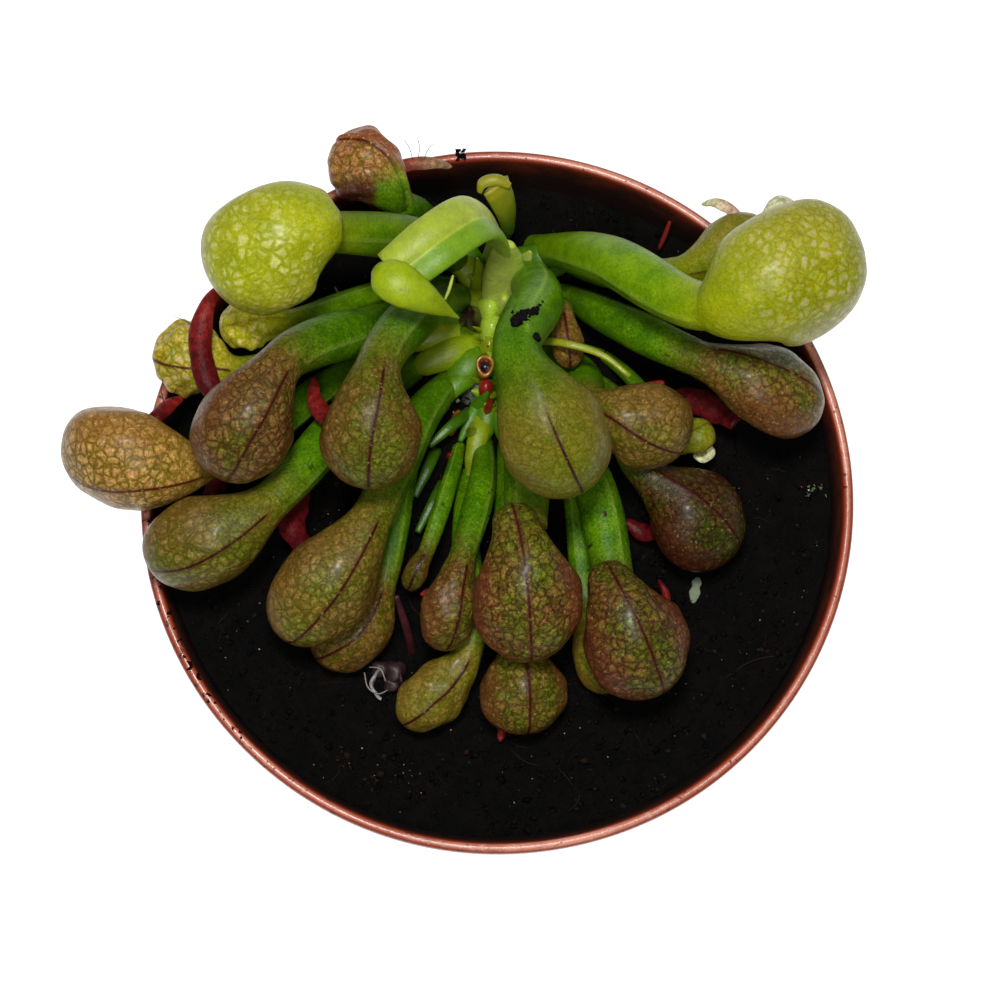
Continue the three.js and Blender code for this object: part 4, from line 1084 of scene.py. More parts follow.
def soil_grit(settings, inner):
    """The crumbs, pale grains that partly stand in for painted glints, and thin fibres on the soil.
    """
    rng = random.Random(settings.seed)
    draft = Draft()
    reach = inner - 1

    def spot():
        radius = math.sqrt(rng.random()) * reach
        angle = rng.uniform(0, TURN)
        return radius * math.cos(angle), radius * math.sin(angle)

    kinds = ("black", "peat", "peat", "peat", "peat", "peat_brown", "peat_brown", "bark")
    for _ in range(settings.crumbs):
        x, y = spot()
        size = 0.14 + 0.7 * rng.random() ** 4
        chip(draft, rng, (x, y, soil_top(x, y) + size * 0.2), size, TINTS[rng.choice(kinds)])
    # Pale grains, partly painted glints
    for _ in range(settings.specks_and_glints):
        x, y = spot()
        size = rng.uniform(0.08, 0.2)
        tint = TINTS[rng.choice(("grey", "white", "grey", "straw"))]
        chip(draft, rng, (x, y, soil_top(x, y) + 0.35), size, tint)
    for _ in range(settings.fibres):
        x, y = spot()
        x, y = x * 0.93, y * 0.93
        angle, length = rng.uniform(0, TURN), rng.uniform(1.5, 6)
        bend = rng.uniform(-0.8, 0.8)
        route = []
        for k in range(4):
            px = x + math.cos(angle + bend * k / 3) * length * k / 3
            py = y + math.sin(angle + bend * k / 3) * length * k / 3
            out = math.hypot(px, py)
            if out > reach:
                px, py = px * reach / out, py * reach / out
            route.append([px, py, soil_top(px, py) + 0.15])
        width = rng.uniform(0.06, 0.16)
        strand(draft, route, width, TINTS[rng.choice(("peat_brown", "bark", "bark"))])
    return draft


class PLANT_OT_soil(bpy.types.Operator):
    """Build the potting mix with its crumbs, fibres and pale specks, which are partly painted
    glints
    """

    bl_idname = "pitcher_plant.soil"
    bl_label = "Soil"

    def execute(self, context):
        settings = context.scene.pitcher_plant.soil
        inner = outer_radius(SOIL_LEVEL) - WALL - 0.35
        settle(soil_body(inner).build("potting_mix", potting_mix()), "potting_mix", "soil")
        skin = tinted("soil_crumbs", 0.8, shine=0.08)
        settle(soil_grit(settings, inner).build("soil_crumbs", skin), "potting_mix")
        return {"FINISHED"}


def blob(
    draft, centre, radii, tint, lean=(0, 0, 1), rows=18, sides=22, point=0.0, knobs=0.0, phase=0.0
):
    """A rounded, pointed or knobby bud that leans along a direction."""
    up = unit(np.array(lean, float))
    side = unit(np.cross(up, [0.31, 0.95, 0.1]))
    front = np.cross(up, side)
    angles = np.linspace(0, TURN, sides, endpoint=False)
    levels = np.linspace(0.04, math.pi - 0.04, rows)
    width = np.sin(levels) * (1 - point * smooth(1 - levels / math.pi * 1.3))
    rise = np.cos(levels) * (1 + point * smooth(1 - levels / math.pi * 2) * 0.8)
    uneven = 1 + knobs * np.sin(angles * 3 + levels[:, None] * 2.2 + phase)
    rings = (
        np.array(centre, float)
        + side * (radii[0] * width[:, None] * np.cos(angles) * uneven)[..., None]
        + front * (radii[1] * width[:, None] * np.sin(angles) * uneven)[..., None]
        + up * (radii[2] * rise)[:, None, None]
    )
    draft.tube(rings, rings[0].mean(0), rings[-1].mean(0), tint=tint)


def loft(
    draft, points, widths, thickness, tint, sides=20, rows=40, crease=0.0, pinch=1.0, turn=0.0
):
    """A leaf along a route, with half widths at even places, flattened by a thickness."""
    route = Route(points)
    shares = np.linspace(0, 1, rows)
    width = np.interp(shares, np.linspace(0, 1, len(widths)), widths)
    angles = np.linspace(0, TURN, sides, endpoint=False)
    spot = frames_on(route, shares, heading_side(points[0], points[-1]))
    groove = crease * np.maximum(0, np.sin(angles - turn)) ** 10
    reach = 1 - groove + 0.06 * np.abs(np.cos(angles)) ** 16
    height = width * thickness * (1 - (1 - pinch) * smooth((shares - 0.55) / 0.45))
    rings = rings_on(spot, angles, width, height, reach)
    draft.tube(rings, route.at(0)[0], route.at(1)[0], tint=tint)


def crown_ridge(rng):
    """The crown's body, a rounded base for each pitcher, short scales between them, and roots."""
    x, y = CROWN_CENTRE
    draft = Draft()
    blob(draft, (x, y, 94), (8, 15, 4.6), TINTS["crown_dark"], rows=30, sides=60, knobs=0.07)
    for p in PITCHERS:
        fx, fy = p.foot
        route, _, _, _ = pitcher_routes(p)
        joint = route.at(route.middle * 0.2)[0]
        hx, hy = x - 0.6 + 0.12 * (fx - x), y + max(-14.0, min(11.0, (fy - y) * 0.62))
        if math.hypot(fx - hx, fy - hy) > FARTHEST_BASE:
            continue
        middle = [(hx + joint[0]) / 2, (hy + joint[1]) / 2, 99.2 + rng.uniform(-0.5, 0.8)]
        wide = p.tube * 0.62
        tint = np.array(TINTS[rng.choice(("crown_green", "fresh", "lime"))])
        tints = tint * np.linspace(1.3, 0.85, 26)[:, None]
        head = [hx, hy, 96.4 + rng.uniform(0, 1)]
        end = [joint[0], joint[1], max(joint[2], 98.5)]
        widths = [0.5, wide, wide * 1.15, wide, wide * 0.8, 0.4]
        loft(draft, [head, middle, end], widths, 0.85, tints, 22, 26, 0.06)
    for i in range(CROWN_SCALES):
        angle = i * GOLDEN_ANGLE
        along = rng.uniform(-1, 1)
        cx, cy = x - 1 + rng.uniform(-3.2, 2.2), y - 1 + along * 12.5
        ox, oy = math.cos(angle), math.sin(angle) * 0.8
        tall = rng.uniform(2.5, 5.5)
        wide = rng.uniform(0.9, 1.7)
        tint = TINTS[rng.choice(("crown_green", "lime", "crown_pale", "fresh"))]
        foot = (cx + ox * 0.8, cy + oy * 0.8, SOIL_LEVEL + tall * 0.3)
        radii, lean = (wide, wide * 0.75, tall * 0.75), (ox * 0.55, oy * 0.55, 1)
        blob(draft, foot, radii, tint, lean, 16, 18, rng.uniform(0.3, 0.7), phase=i)
    for i in range(ROOTS):
        angle = i / ROOTS * TURN + 0.4
        ox, oy = math.cos(angle), math.sin(angle)
        length = ROOT_LENGTH * (0.8 + 0.2 * math.cos(i * 2.4))
        route = [[x + ox * 3, y + oy * 7, 93.5], [x + ox * 8, y + oy * 11, 93.5 - length * 0.3],
                 [x + ox * 11, y * 0.8 + oy * 12, 93.5 - length * 0.65],
                 [x + ox * 10, y * 0.7 + oy * 13, 93.5 - length]]
        strand(draft, route, 1.1, TINTS["root"], 8, 14)
    return draft


def crown_buds(rng):
    """The newest leaf's sheath, the nubs and buds beside it, a small open bud and pale hairs."""
    draft = Draft()
    rows = 30
    fade = np.linspace(1.1, 0.75, rows)[:, None]
    sheath, pale, green = (np.array(TINTS[name]) * fade for name in ("sheath", "lime_pale", "lime"))
    # The newest leaf's sheath, in the near-white sheath tint that is painted light under the
    # strap's shade
    loft(draft, [[-0.4, 33.6, 100], [0.4, 35.9, 107], [1.0, 38.0, 114], [0.9, 39.4, 122]],
         [2.2, 2.9, 3.2, 3.1, 2.6, 1.2], 0.5, sheath, rows=rows, crease=0.12)
    loft(draft, [[2.4, 37.2, 97], [3.6, 39.2, 103], [5.4, 41.7, 107]],
         [1.9, 2.4, 2.4, 1.6, 0.3], 0.5, pale, rows=rows)
    loft(draft, [[-2.6, 36.6, 97], [-3.0, 38.6, 103], [-3.6, 40.8, 106]],
         [1.7, 2.0, 1.7, 0.9, 0.2], 0.55, green, rows=rows, crease=0.15)
    for centre, radii, tint, lean, form in BUDS:
        blob(draft, centre, radii, TINTS[tint], lean, **form)
    angles = np.linspace(0, TURN, 28, endpoint=False)
    x, y = -2.2, 22.6
    rings = []
    for radius, z, _ in CUP:
        wave = 1 + 0.07 * np.sin(angles * 3 + z)
        rings.append(np.stack([x + np.cos(-angles) * radius * wave * 0.92,
                               y + np.sin(-angles) * radius * wave * 1.15,
                               z + 0.15 * np.sin(angles * 2)], 1))
    tints = np.array([TINTS[tint] for _, _, tint in CUP])
    draft.tube(np.array(rings), [x, y, 99.2], [x, y, 102.4], tint=tints)
    for _ in range(16):
        px, py = rng.uniform(-3.2, 1.2), rng.uniform(24.5, 33.5)
        bend = [px + rng.uniform(-0.8, 0.8), py + rng.uniform(0.5, 1.5), 102.3]
        tip = [px + rng.uniform(-1.6, 1.6), py + rng.uniform(1, 3), 101.4]
        width = rng.uniform(0.05, 0.11)
        strand(draft, [[px, py, 101.2], bend, tip], width, TINTS["lime_pale"], 4, 7)
    return draft


class PLANT_OT_crown(bpy.types.Operator):
    """Build the knobby crown with its sheaths and buds and the roots below it"""

    bl_idname = "pitcher_plant.crown"
    bl_label = "Crown and buds"

    def execute(self, context):
        rng = random.Random(CROWN_SEED)
        crown = crown_ridge(rng).build("crown_tissue", tinted("crown_tissue", 0.4, relief=0.15))
        settle(crown, "crown_tissue", "crown_and_roots")
        buds = crown_buds(rng).build("crown_buds", tinted("crown_buds", 0.2, coat=0.3, relief=0.08))
        settle(buds, "crown_tissue")
        return {"FINISHED"}


def hood_width(p, v):
    """Half width of a hood from its neck or heel, 0, to its front, 1."""
    neck = p.tube * NECK_PINCH
    opening = neck + (p.hood - neck) * smooth(v / WIDEST) ** p.look.power
    far = np.clip((v - WIDEST) / (1 - WIDEST), 0, 1)
    closing = p.hood * (1 - far**2.2) ** (1 / 2.1)
    width = np.where(v < WIDEST, opening, closing)
    if p.heel:
        heel = neck * np.sqrt(np.clip(1 - (1 - np.minimum(v, HEEL_END) / HEEL_END) ** 2, 0.04, 1))
        width = np.where(v < HEEL_END, heel, width)
    return width


def tube_width(p, w):
    """Half width of a tube from its foot, 0, to its neck, 1."""
    foot = p.tube * BASE_TAPER
    full = foot + (p.tube - foot) * np.sin(w * math.pi / 2)
    return full * (1 - (1 - NECK_PINCH) * smooth((w - 0.7) / 0.3))


def pitcher_routes(p):
    """The tube's route, whose middle is the neck, its side, and the hood's route with its start."""
    foot = (*p.foot, LEAF_FOOT)
    route = Route([foot, p.knee, p.neck, p.crest, p.front])
    side = heading_side(foot, p.front)
    if p.heel:
        return route, side, Route([p.heel, p.crest, p.front]), 0.0
    return route, side, route, route.middle


def phase_of(p):
    """A number that makes each pitcher uneven in its own way."""
    return p.foot[0] * 1.7 + p.hood


def fold_cap(rings, middle, values):
    """Folds the old hood: a red cap over its front, the bared tube and tongue below the hem, with a
    painted shadow line along the fold and painted shade along the hem and on the bared part.
    """
    x, y = rings[..., 0], rings[..., 1]
    past = np.hypot(x - CAP["x"], y - CAP["y"]) - CAP["radius"]
    rise = 0.45 * np.exp(-(((past - 0.5) / 0.4) ** 2)) - 0.4 * np.exp(-(((past + 0.05) / 0.3) ** 2))
    cap = smooth(past / 0.5)
    bare = smooth((CAP["hem"] - y) / 2.2 + 0.3) * (1 - cap)
    left = smooth((CAP["tongue_side"] - x) / 1.4 + 0.3)
    # Painted shadow: the keel's dark line is drawn along the fold, under the cap's raised rim
    values["keel"] = np.abs(past) * 1.7
    values["edge"] = np.maximum(values["edge"], cap)
    values["hood"] = values["hood"] * (1 - 0.8 * bare * (1 - left))
    values["lip"] = np.maximum(values["lip"], np.maximum(bare * left, 0.6 * cap))
    # Painted shade along the hem and on the bared part below the cap
    hem = 0.3 * np.exp(-(((y - CAP["hem"]) / 0.9) ** 2)) * (1 - cap)
    shade = (1 - bare * (0.6 + 0.08 * left)) * (1 - hem)
    values["light"] = values["light"] * (1 + 0.25 * cap) * shade
    return rings + unit(rings - middle[:, None]) * rise[..., None]


def tube_part(p, route, side, angles):
    """A tube's shares from foot to neck, its rings with wing and side seam, and its values."""
    to_front = np.maximum(0, -np.sin(angles))
    w = np.linspace(0, 1, TUBE_ROWS)
    if not p.heel:
        w = w[:-1]
    width = tube_width(p, w)
    wing = 0.3 * np.sin(np.clip((w - 0.2) / 0.8, 0, 1) * math.pi)[:, None]
    uneven = 0.012 * np.sin(angles * 2 + w[:, None] * 9 + phase_of(p))
    seam_at = (0.64 if p.roll < 0 else 0.36) * math.pi
    seam = np.exp(-(((angles - seam_at) / 0.1) ** 2)) * smooth((w - 0.1) / 0.3)[:, None]
    reach = 1 + wing * to_front**20 + 0.06 * seam + uneven
    spot = frames_on(route, w * route.middle, side, math.radians(p.roll) * w)
    late = float(p.name in LATE)
    fade = np.ones(len(w)) if p.heel else 1 - smooth((w - 0.55) / 0.45)
    shape = np.ones((len(w), len(angles)))
    values = dict(
        keel=shape * NO_KEEL,
        hood=shape * (1 - late) * smooth((w - 0.82) / 0.3)[:, None],
        edge=shape * np.abs(np.cos(angles)) ** 2,
        mouth=shape * 0,
        lip=shape * 0,
        # The pale wing value, whose share on the side seam is partly a painted highlight
        wing=shape * (to_front**14) * smooth((w - 0.15) / 0.3)[:, None] + 0.7 * seam,
        ripe=shape * p.look.ripe,
        pale=shape * 0,
        rosy=shape * p.look.rosy,
        # How light the tube is painted; pitcher_left_high's darker tube is painted shade
        light=shape * (1 + (TUBE_LIGHT.get(p.name, 1.0) - 1) * fade)[:, None],
    )
    return w, rings_on(spot, angles, width, width, reach), values


def mouth_of(p, v, width, length, angles):
    """How deep the mouth below the hood is at each point, and how far its lip rolls out."""
    mouth_at = 0.36 if p.heel else 0.22
    mouth_width = float(hood_width(p, np.array([mouth_at]))[0])
    round_front = (angles - 1.5 * math.pi + math.pi) % TURN - math.pi
    e = np.sqrt((((v - mouth_at) * length) / (p.hood * 0.34))[:, None] ** 2
                + (round_front * width[:, None] / (mouth_width * 0.62)) ** 2)
    open_enough = float(p.hood > MOUTH_ABOVE)
    deep = np.clip(1 - e * e, 0, 1) ** 0.42
    return deep * open_enough, np.exp(-(((e - 1.1) / 0.13) ** 2)) * open_enough


def hood_part(p, route, start, side, angles):
    """A hood's shares from neck to front, its lumpy rings with keel and mouth, and its values."""
    to_back = np.maximum(0, np.sin(angles))
    spread = np.linspace(0, WIDEST, SPREAD_ROWS)[:-1]
    if p.heel:
        closed = HEEL_END * (1 - np.cos(np.linspace(0.12, math.pi / 2, 8)[:-1]))
        spread = np.concatenate([closed, np.linspace(HEEL_END, WIDEST, SPREAD_ROWS - 6)[:-1]])
    closing = np.sin(np.radians(np.linspace(0, 87, CLOSING_ROWS)))
    v = np.concatenate([spread, WIDEST + (1 - WIDEST) * closing])
    width = hood_width(p, v)
    flat = 1 - (1 - HOOD_FLATNESS) * smooth(v / WIDEST)
    deep, rolled = mouth_of(p, v, width, route.length * (1 - start), angles)
    growth = smooth(v / 0.25)[:, None] * smooth((1 - v) / 0.12)[:, None]
    lumpy, phase = p.look.lumpy, phase_of(p)
    ripple = v[:, None] * (7 + lumpy * 150)
    lumps = lumpy * (np.sin(angles * 3 + ripple + phase) + 0.6 * np.sin(angles * 7 - ripple * 1.5))
    sag = -0.035 * np.cos(2 * (angles - math.pi / 2 - 0.9)) ** 4
    reach = 1 + 0.022 * to_back**40 - 0.02 * (to_back**9 - to_back**40) + (lumps + sag) * growth
    reach = reach + 0.05 * rolled - 1.05 * deep
    spot = frames_on(route, start + v * (1 - start), side, math.radians(p.roll))
    rings = rings_on(spot, angles, width, width * flat, reach)

    late = float(p.name in LATE)
    heel = float(bool(p.heel))
    keel_start = 0.5 if p.name == "pitcher_centre" else 0.16
    from_keel = np.abs((angles - math.pi / 2 + math.pi) % TURN - math.pi) * width[:, None]
    dawn = 1.0 if p.heel else smooth((v + 0.25 * (1 - late) - 0.04 * late) / 0.4)[:, None]
    lit = 1.0 if p.heel else smooth((v + 0.1) / 0.35)[:, None]
    shape = np.ones((len(v), len(angles)))
    values = dict(
        keel=from_keel + shape * 1.6 * (1 - heel) * (1 - smooth(v / keel_start))[:, None],
        hood=shape * dawn,
        edge=shape * np.abs(np.cos(angles)) ** 2 * smooth(v / 0.5)[:, None]
        + smooth((v - 0.86) / 0.14)[:, None] * 0.7,
        mouth=deep**0.6,
        lip=rolled,
        wing=shape * 0,
        ripe=shape * p.look.ripe,
        pale=shape * p.look.pale * smooth((v - 0.12) / 0.35)[:, None],
        rosy=shape * p.look.rosy,
        # How light the hood is painted; on pitcher_left_under this is painted light where it lies
        # in shade
        light=shape * (1 + (p.look.light - 1) * lit),
    )
    if p.name == CAP["pitcher"]:
        rings = fold_cap(rings, spot[0], values)
    return v, rings, values


def pitcher_draft(p, sides):
    """A pitcher's tube, hood, mouth and tongue."""
    route, side, hood_route, start = pitcher_routes(p)
    angles = np.linspace(0, TURN, sides, endpoint=False)
    w, tube_rings, tube_values = tube_part(p, route, side, angles)
    v, hood_rings, hood_values = hood_part(p, hood_route, start, side, angles)
    foot, neck, front = route.at(0)[0], route.at(route.middle)[0], hood_route.at(1)[0]
    draft = Draft()
    if p.heel:
        draft.tube(tube_rings, foot, neck, w * 0.5, **tube_values)
        draft.tube(hood_rings, hood_route.at(0)[0], front, 0.5 + v * 0.5, **hood_values)
    else:
        both = {key: np.vstack([tube_values[key], hood_values[key]]) for key in tube_values}
        along = np.concatenate([w * 0.5, 0.5 + v * 0.5])
        draft.tube(np.vstack([tube_rings, hood_rings]), foot, front, along, **both)
    add_tongues(draft, p)
    return draft


def tongue_straps(p):
    """A tongue's straps: as in the table, or hanging from the mouth's far lip to each tip."""
    if p.name in TONGUES:
        return TONGUES[p.name]
    _, side, route, start = pitcher_routes(p)
    far = 0.45
    spot = frames_on(route, np.array([start + far * (1 - start)]), side, math.radians(p.roll))
    centre, _, _, back = (part[0] for part in spot)
    lip = centre - back * float(hood_width(p, np.array([far]))[0]) * HOOD_FLATNESS * 0.75
    half = min(1.3, p.hood * 0.15)
    return [
        ([lip, (lip + np.array(tip)) / 2 - back * p.hood * 0.22, tip], half, "maroon", "red")
        for tip in p.tips
    ]


def add_tongues(draft, p):
    """The straps of the forked tongue, each a thin leaf with a rounded tip."""
    for number, (points, half_width, start_tint, end_tint) in enumerate(tongue_straps(p)):
        route = Route(points)
        shares = np.linspace(0, 1, 30)
        heading = route.heading(shares)
        across = unit(np.cross(np.array([0.05, 0.1, 1.0]), heading))
        normal = unit(np.cross(heading, across))
        half = half_width * (0.8 + 0.3 * np.sin(math.pi * shares) ** 2)
        half = half * np.sqrt(np.clip(1 - np.clip((shares - 0.7) / 0.3, 0, 1) ** 2, 0.02, 1))
        half = half * (1 + 0.06 * np.sin(shares * 21 + number))
        angles = -np.linspace(0, TURN, 18, endpoint=False)
        x = np.cos(angles) * half[:, None]
        thick = 0.2 + 0.16 * half_width
        y = np.sin(angles) * thick * np.sqrt(half / half_width)[:, None]
        y = y - 0.3 * np.abs(x) ** 1.6 / half_width**0.6 + 0.08 * np.sin(shares * 17)[:, None]
        rings = route.at(shares)[:, None] + across[:, None] * x[..., None]
        rings = rings + normal[:, None] * y[..., None]
        blend = smooth((shares - 0.35) / 0.65)[:, None]
        tint = np.array(TINTS[start_tint]) * (1 - blend) + np.array(TINTS[end_tint]) * blend
        draft.tube(rings, rings[0].mean(0), rings[-1].mean(0), tint=tint, tongue=1.0, keel=NO_KEEL)


class PLANT_OT_pitchers(bpy.types.Operator):
    """Build every pitcher: arching tube, domed hood with keel and mouth, and forked tongue"""

    bl_idname = "pitcher_plant.pitchers"
    bl_label = "Pitchers"

    def execute(self, context):
        settings = context.scene.pitcher_plant.leaves
        skin = LeafSkin(settings).paint()
        slots = {name: "young_leaf" for name in YOUNG} | {"pitcher_juvenile": "slim_leaf"}
        for p in PITCHERS:
            sides = settings.sides if p.hood > ALL_SIDES_ABOVE else settings.sides * 5 // 7
            if p.name == CAP["pitcher"]:
                sides *= CAP["finer"]
            piece = pitcher_draft(p, sides).build(p.name + "_leaf", skin)
            settle(piece, slots.get(p.name, "mature_leaf"), p.name)
        return {"FINISHED"}


def dried_curl():
    """A dried leaf's remains: a rolled strip, lumps at its foot and pale threads on top."""
    x, y, foot = DRIED_CURL["x"], DRIED_CURL["y"], DRIED_CURL["foot"]
    draft = Draft()
    steps, thick = 48, 0.22
    rings = []
    for i in range(steps + 1):
        share = i / steps
        angle = math.radians(DRIED_CURL["turn"]) * share
        radial = np.array([math.cos(angle), math.sin(angle), 0])
        top = DRIED_CURL["top"] - 0.9 * share + 0.35 * math.sin(share * 17)
        profile = []
        for k in range(9):
            rise = k / 8
            radius = DRIED_CURL["radius"] + 0.6 * rise**2 + 0.12 * math.sin(share * 23 + rise * 4)
            profile.append((radius, foot + (top - foot) * rise))
        ring = [(r + thick, z) for r, z in profile] + [(r - thick, z) for r, z in reversed(profile)]
        rings.append([np.array([x, y, z]) + radial * r for r, z in ring])
    rings = np.array(rings)[:, ::-1]
    z = rings[..., 2].ravel()
    around = np.repeat(np.linspace(0, 1, steps + 1), rings.shape[1])
    share = (smooth((z - 97.2) / 1.2) * smooth((around - 0.4) / 0.25))[:, None]
    tint = np.array(TINTS["purple"]) * (1 - share) * 0.6 + np.array(TINTS["white"]) * share * 0.8
    draft.tube(rings, rings[0].mean(0), rings[-1].mean(0), tint=np.vstack([tint, tint[:2]]))
    lumps = (((-19.6, -28.4, 97.8), (1.7, 1.4, 1.7)), ((-17.2, -28.8, 97.9), (1.7, 2, 1.9)),
             ((-17.6, -31.0, 97.6), (1.6, 1.2, 1.4)))
    for centre, radii in lumps:
        blob(draft, centre, radii, np.array(TINTS["purple"]) * 0.4 + 0.02, (0.3, 0.3, 1), knobs=0.2)
    for route in ([[-22.3, -29, 98.6], [-21.6, -31.7, 99], [-19.9, -32.7, 99], [-18.3, -32, 98.6]],
                  [[-21.5, -28.2, 99], [-19.6, -28.6, 99.6], [-18.7, -30.6, 99.2]]):
        strand(draft, route, 0.14, TINTS["paper"], 6, 20)
    return draft


class PLANT_OT_slim_leaves(bpy.types.Operator):
    """Build the thin first leaves, the yellow strand, the dried spike and the dried curl"""

    bl_idname = "pitcher_plant.slim_leaves"
    bl_label = "Slim leaves"

    def execute(self, context):
        fresh = tinted("slim_leaf_skin", 0.35)
        dried = tinted("dried_leaf_skin", 0.5, coat=0.1, relief=0.2, spread=0.8)
        for name, (points, width, tint) in SLIM_LEAVES.items():
            draft = Draft()
            widths = [share * width for share in (0.8, 0.95, 1, 1, 0.95, 0.8, 0.55)]
            loft(draft, points, widths, 0.8, TINTS[tint], crease=0.15)
            skin, slot = (dried, "dried_leaf") if name == "dried_spike" else (fresh, "slim_leaf")
            settle(draft.build(name + "_blade", skin), slot, name)
        settle(dried_curl().build("dried_curl_sheet", dried), "dried_leaf", "dried_curl")
        return {"FINISHED"}


def new_leaf(rows):
    """The newest leaf: a pale strap folded over at its end, its beak bent back, a thin spur."""
    rise = smooth(np.linspace(-0.3, 1.05, rows))[:, None]
    draft = Draft()
    # The stalk's foot takes the sheath tint, painted light where the strap above shades it
    pale = np.array(TINTS["lime_pale"]) * 0.4 + np.array(TINTS["lime"]) * 0.8
    tint = np.array(TINTS["sheath"]) * (1 - rise) + pale * rise
    side = heading_side(NEW_LEAF_STALK[0], NEW_LEAF_STALK[-1])
    inner = math.copysign(1.0, side[0] - side[1])
    sides = 48
    across = np.cos(np.linspace(0, TURN, sides, endpoint=False)) * inner
    # The folded-over side is deeper green and painted in shade, with a painted highlight line along
    # the fold's edge
    start = smooth((np.linspace(0, 1, rows) - 0.45) / 0.2)[:, None]
    fold = (start * smooth((across - 0.28) / 0.14))[..., None]
    line = (start * np.exp(-(((across - 0.24) / 0.08) ** 2)))[..., None]
    shaded = 1 - np.array([0.5, 0.74, 0.3])
    tint = tint[:, None] * (1 - fold * shaded) * (1 + 0.15 * line)
    loft(draft, NEW_LEAF_STALK, NEW_LEAF_STALK_WIDTHS, 0.42, tint, sides, rows, crease=0.45,
         turn=-0.3 * inner)
    tint = np.array(TINTS["lime"]) * (1.45 - 0.35 * rise)
    loft(draft, NEW_LEAF_BEAK, NEW_LEAF_BEAK_WIDTHS, 0.68, tint, 28, rows)
    spur = [[-9.6, 26.2, 137], [-8.9, 27.8, 138], [-8.3, 30, 138.4]]
    strand(draft, spur, 0.32, TINTS["lime_pale"])
    return draft


def young_tube(rows):
    """The short young tube with its rolled golden lip."""
    draft = Draft()
    rise = smooth(np.linspace(-0.9, 1.1, rows))[:, None]
    tint = np.array(TINTS["lime_deep"]) * (1 - rise) + np.array(TINTS["yellow"]) * 0.7 * rise
    tint[-4:] = np.array(TINTS["lip_gold"]) * [0.8, 1.1, 0.5]
    loft(draft, YOUNG_TUBE, YOUNG_TUBE_WIDTHS, 0.6, tint, 28, rows, crease=0.1, pinch=0.5)
    lip = [[-3.6, 48.7, 118.9], [-3.0, 50.1, 119.7], [-0.6, 50.6, 119.9], [1.5, 49.8, 119.3]]
    tint = np.array(TINTS["lip_gold"]) * [0.8, 1.15, 0.5]
    loft(draft, lip, [0.5, 0.9, 1.0, 1.0, 0.9, 0.5], 0.8, tint)
    return draft


class PLANT_OT_new_leaf(bpy.types.Operator):
    """Build the newest leaf, folded over with its beak bent back, and the short young tube"""

    bl_idname = "pitcher_plant.new_leaf"
    bl_label = "New leaf"

    def execute(self, context):
        skin = tinted("new_leaf_skin", 0.4, relief=0.12, spread=0.4, shine=0.4)
        rows = 54
        settle(new_leaf(rows).build("new_leaf_blade", skin), "young_leaf", "new_leaf_folded")
        settle(young_tube(rows).build("young_tube_blade", skin), "young_leaf", "young_tube")
        return {"FINISHED"}


def lying_on(name, x, y):
    """The height in millimetres of a piece's upper side, or None beside it."""
    start = Vector((x * MM, y * MM, ABOVE_PLANT))
    hit, place, _, _ = bpy.data.objects[name].ray_cast(start, Vector((0, 0, -1)))
    return place.z / MM if hit else None


def heap(draft, rng, x, y, z, tint, count, spread, size, on=None):
    """Crumbs round a place, at a height, on the soil, or on a piece."""
    for _ in range(count):
        px, py = x + rng.gauss(0, spread), y + rng.gauss(0, spread)
        if on:
            level = lying_on(on, px, py)
            if level is None:
                continue
            height = level + size * 0.2
        else:
            height = soil_top(px, py) + size * 0.5 if z is None else z
        chip(draft, rng, (px, py, height), size * rng.uniform(0.6, 1.3), TINTS[tint], 0.6)


class PLANT_OT_debris(bpy.types.Operator):
    """Build the loose bits: flakes, threads, crumbs and hairs on soil, leaves and rim"""

    bl_idname = "pitcher_plant.debris"
    bl_label = "Loose bits"

    def execute(self, context):
        rng = random.Random(DEBRIS_SEED)
        bits = Draft()
        context.view_layer.update()
        flake = np.array(TINTS["moss"]) + 0.12
        loft(bits, [[34.0, -12.6, 98.4], [33.5, -14.8, 98.9], [33.1, -17.0, 98.2]],
             [0.3, 0.9, 0.6, 1.0, 0.7, 0.3], 0.3, flake, 12, 14)
        for place in HEAPS:
            heap(bits, rng, *place)
        tube = "pitcher_centre_leaf"
        for number, (x, y, radius) in enumerate(CLODS):
            level = lying_on(tube, x, y)
            if level is not None:
                blob(bits, (x, y, level + radius * 0.25), (radius, radius * 0.9, radius * 0.7),
                     TINTS["black"], rows=12, sides=16, knobs=0.2, phase=number * 1.7)
        heap(bits, rng, 2.4, 23.2, None, "black", 30, 0.8, 0.3, tube)
        for number in range(RIM_DIRT["count"]):
            angle = math.radians(RIM_DIRT["first"] + number * RIM_DIRT["step"])
            x, y = RIM_DIRT["radius"] * math.cos(angle), RIM_DIRT["radius"] * math.sin(angle)
            heap(bits, rng, x, y, RIM_DIRT["height"], "black", 2, 0.35, 0.5)
        for route, width, tint in THREADS:
            strand(bits, route, width, TINTS[tint])
        for route in HAIRS:
            strand(bits, route, 0.05, TINTS["black"], 4, 9)
        piece = bits.build("loose_bits", tinted("loose_bits", 0.7, relief=0.15, shine=0.12))
        settle(piece, "potting_mix")
        return {"FINISHED"}


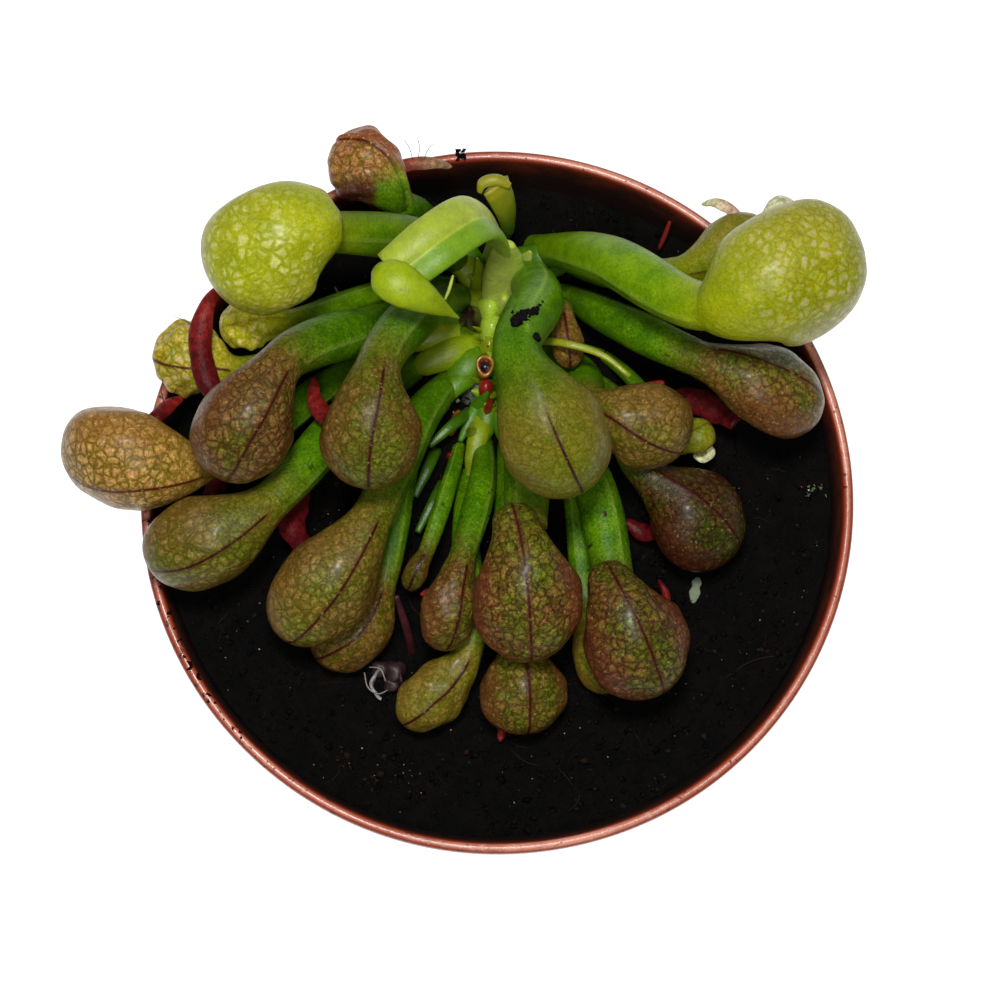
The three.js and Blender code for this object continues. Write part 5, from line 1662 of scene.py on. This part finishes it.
def add_floor(scene):
    """A pale floor that glows evenly below the pot and less further away."""
    mesh = bpy.data.meshes.new("floor")
    mesh.from_pydata([(-3, -3, 0), (3, -3, 0), (3, 3, 0), (-3, 3, 0)], [], [(0, 1, 2, 3)])
    floor = bpy.data.objects.new("floor", mesh)
    scene.collection.objects.link(floor)
    shade = Shade("floor_paper")
    tone = shade.mix(shade.noise(0.004, 2), (0.4, 0.4, 0.4), (0.36, 0.36, 0.36))
    away = shade.node("ShaderNodeVectorMath", {"operation": "LENGTH"}, {0: shade.place()}, "Value")
    glow = shade.mix(away.step(0.15, 0.5), (1.0, 1.0, 1.0), (0.4, 0.4, 0.4))
    mesh.materials.append(shade.finish(tone, 0.9, Emission_Color=glow, Emission_Strength=1.0))


def add_light(scene, name, place, size, power):
    """A soft round light turned towards the plant."""
    data = bpy.data.lights.new(name, "AREA")
    data.shape = "DISK"
    data.size = size
    data.energy = power
    lamp = bpy.data.objects.new(name, data)
    lamp.location = place
    lamp.rotation_mode = "QUATERNION"
    lamp.rotation_quaternion = (Vector((0, 0, 0.1)) - Vector(place)).to_track_quat("-Z", "Y")
    scene.collection.objects.link(lamp)


def add_camera(scene):
    """The camera above the pot's rim, turned so that the plant's back is up in the picture."""
    data = bpy.data.cameras.new("camera")
    data.sensor_width = 36
    data.lens = LENS_PIXELS / PICTURE_PIXELS * data.sensor_width
    data.shift_x = (PICTURE_PIXELS / 2 - CENTRE_PIXEL[0]) / PICTURE_PIXELS
    data.shift_y = (CENTRE_PIXEL[1] - PICTURE_PIXELS / 2) / PICTURE_PIXELS
    data.clip_start, data.clip_end = 0.05, 20
    camera = bpy.data.objects.new("camera", data)
    away = Vector(CAMERA_WAY).normalized()
    up = (Vector((0, 1, 0)) - away * away.y).normalized()
    basis = Matrix((up.cross(away), up, away)).transposed()
    rim = Vector((0, 0, POT_HEIGHT * MM))
    camera.matrix_world = Matrix.Translation(rim + away * CAMERA_DISTANCE) @ basis.to_4x4()
    scene.collection.objects.link(camera)
    scene.camera = camera


class PLANT_OT_stage(bpy.types.Operator):
    """Set the pale floor, the soft lights and the camera above the pot"""

    bl_idname = "pitcher_plant.stage"
    bl_label = "Stage"

    def execute(self, context):
        settings = context.scene.pitcher_plant.stage
        scene = context.scene
        add_floor(scene)
        add_light(scene, "key", (-0.05, 0.06, 0.93), 0.15, settings.key_power)
        add_light(scene, "fill", (-0.02, -0.24, 0.86), 0.2, settings.fill_power)
        world = bpy.data.worlds.new("studio")
        world.use_nodes = True
        background = world.node_tree.nodes["Background"]
        background.inputs["Color"].default_value = (1, 1, 1, 1)
        background.inputs["Strength"].default_value = settings.sky
        scene.world = world
        scene.view_settings.view_transform = "Standard"
        add_camera(scene)
        return {"FINISHED"}


PIECES = (PLANT_OT_pot, PLANT_OT_soil, PLANT_OT_crown, PLANT_OT_pitchers, PLANT_OT_slim_leaves,
          PLANT_OT_new_leaf, PLANT_OT_debris, PLANT_OT_stage)


class PLANT_PT_panel(bpy.types.Panel):
    """Buttons for each piece of the plant"""

    bl_idname = "PLANT_PT_panel"
    bl_label = "Pitcher plant"
    bl_space_type = "VIEW_3D"
    bl_region_type = "UI"
    bl_category = "Pitcher plant"

    def draw(self, context):
        settings = context.scene.pitcher_plant
        for group in (settings.pot, settings.soil, settings.leaves, settings.stage):
            box = self.layout.box()
            for key in group.bl_rna.properties.keys():
                if key not in ("rna_type", "name"):
                    box.prop(group, key)
        for piece in PIECES:
            self.layout.operator(piece.bl_idname)


CLASSES = (PotSettings, SoilSettings, LeafSettings, StageSettings, PlantSettings, *PIECES,
           PLANT_PT_panel)


def register():
    for cls in CLASSES:
        bpy.utils.register_class(cls)
    bpy.types.Scene.pitcher_plant = bpy.props.PointerProperty(type=PlantSettings)


def unregister():
    del bpy.types.Scene.pitcher_plant
    for cls in reversed(CLASSES):
        bpy.utils.unregister_class(cls)


def main():
    register()
    bpy.ops.pitcher_plant.pot()
    bpy.ops.pitcher_plant.soil()
    bpy.ops.pitcher_plant.crown()
    bpy.ops.pitcher_plant.pitchers()
    bpy.ops.pitcher_plant.slim_leaves()
    bpy.ops.pitcher_plant.new_leaf()
    bpy.ops.pitcher_plant.debris()
    bpy.ops.pitcher_plant.stage()


if __name__ == "__main__":
    main()
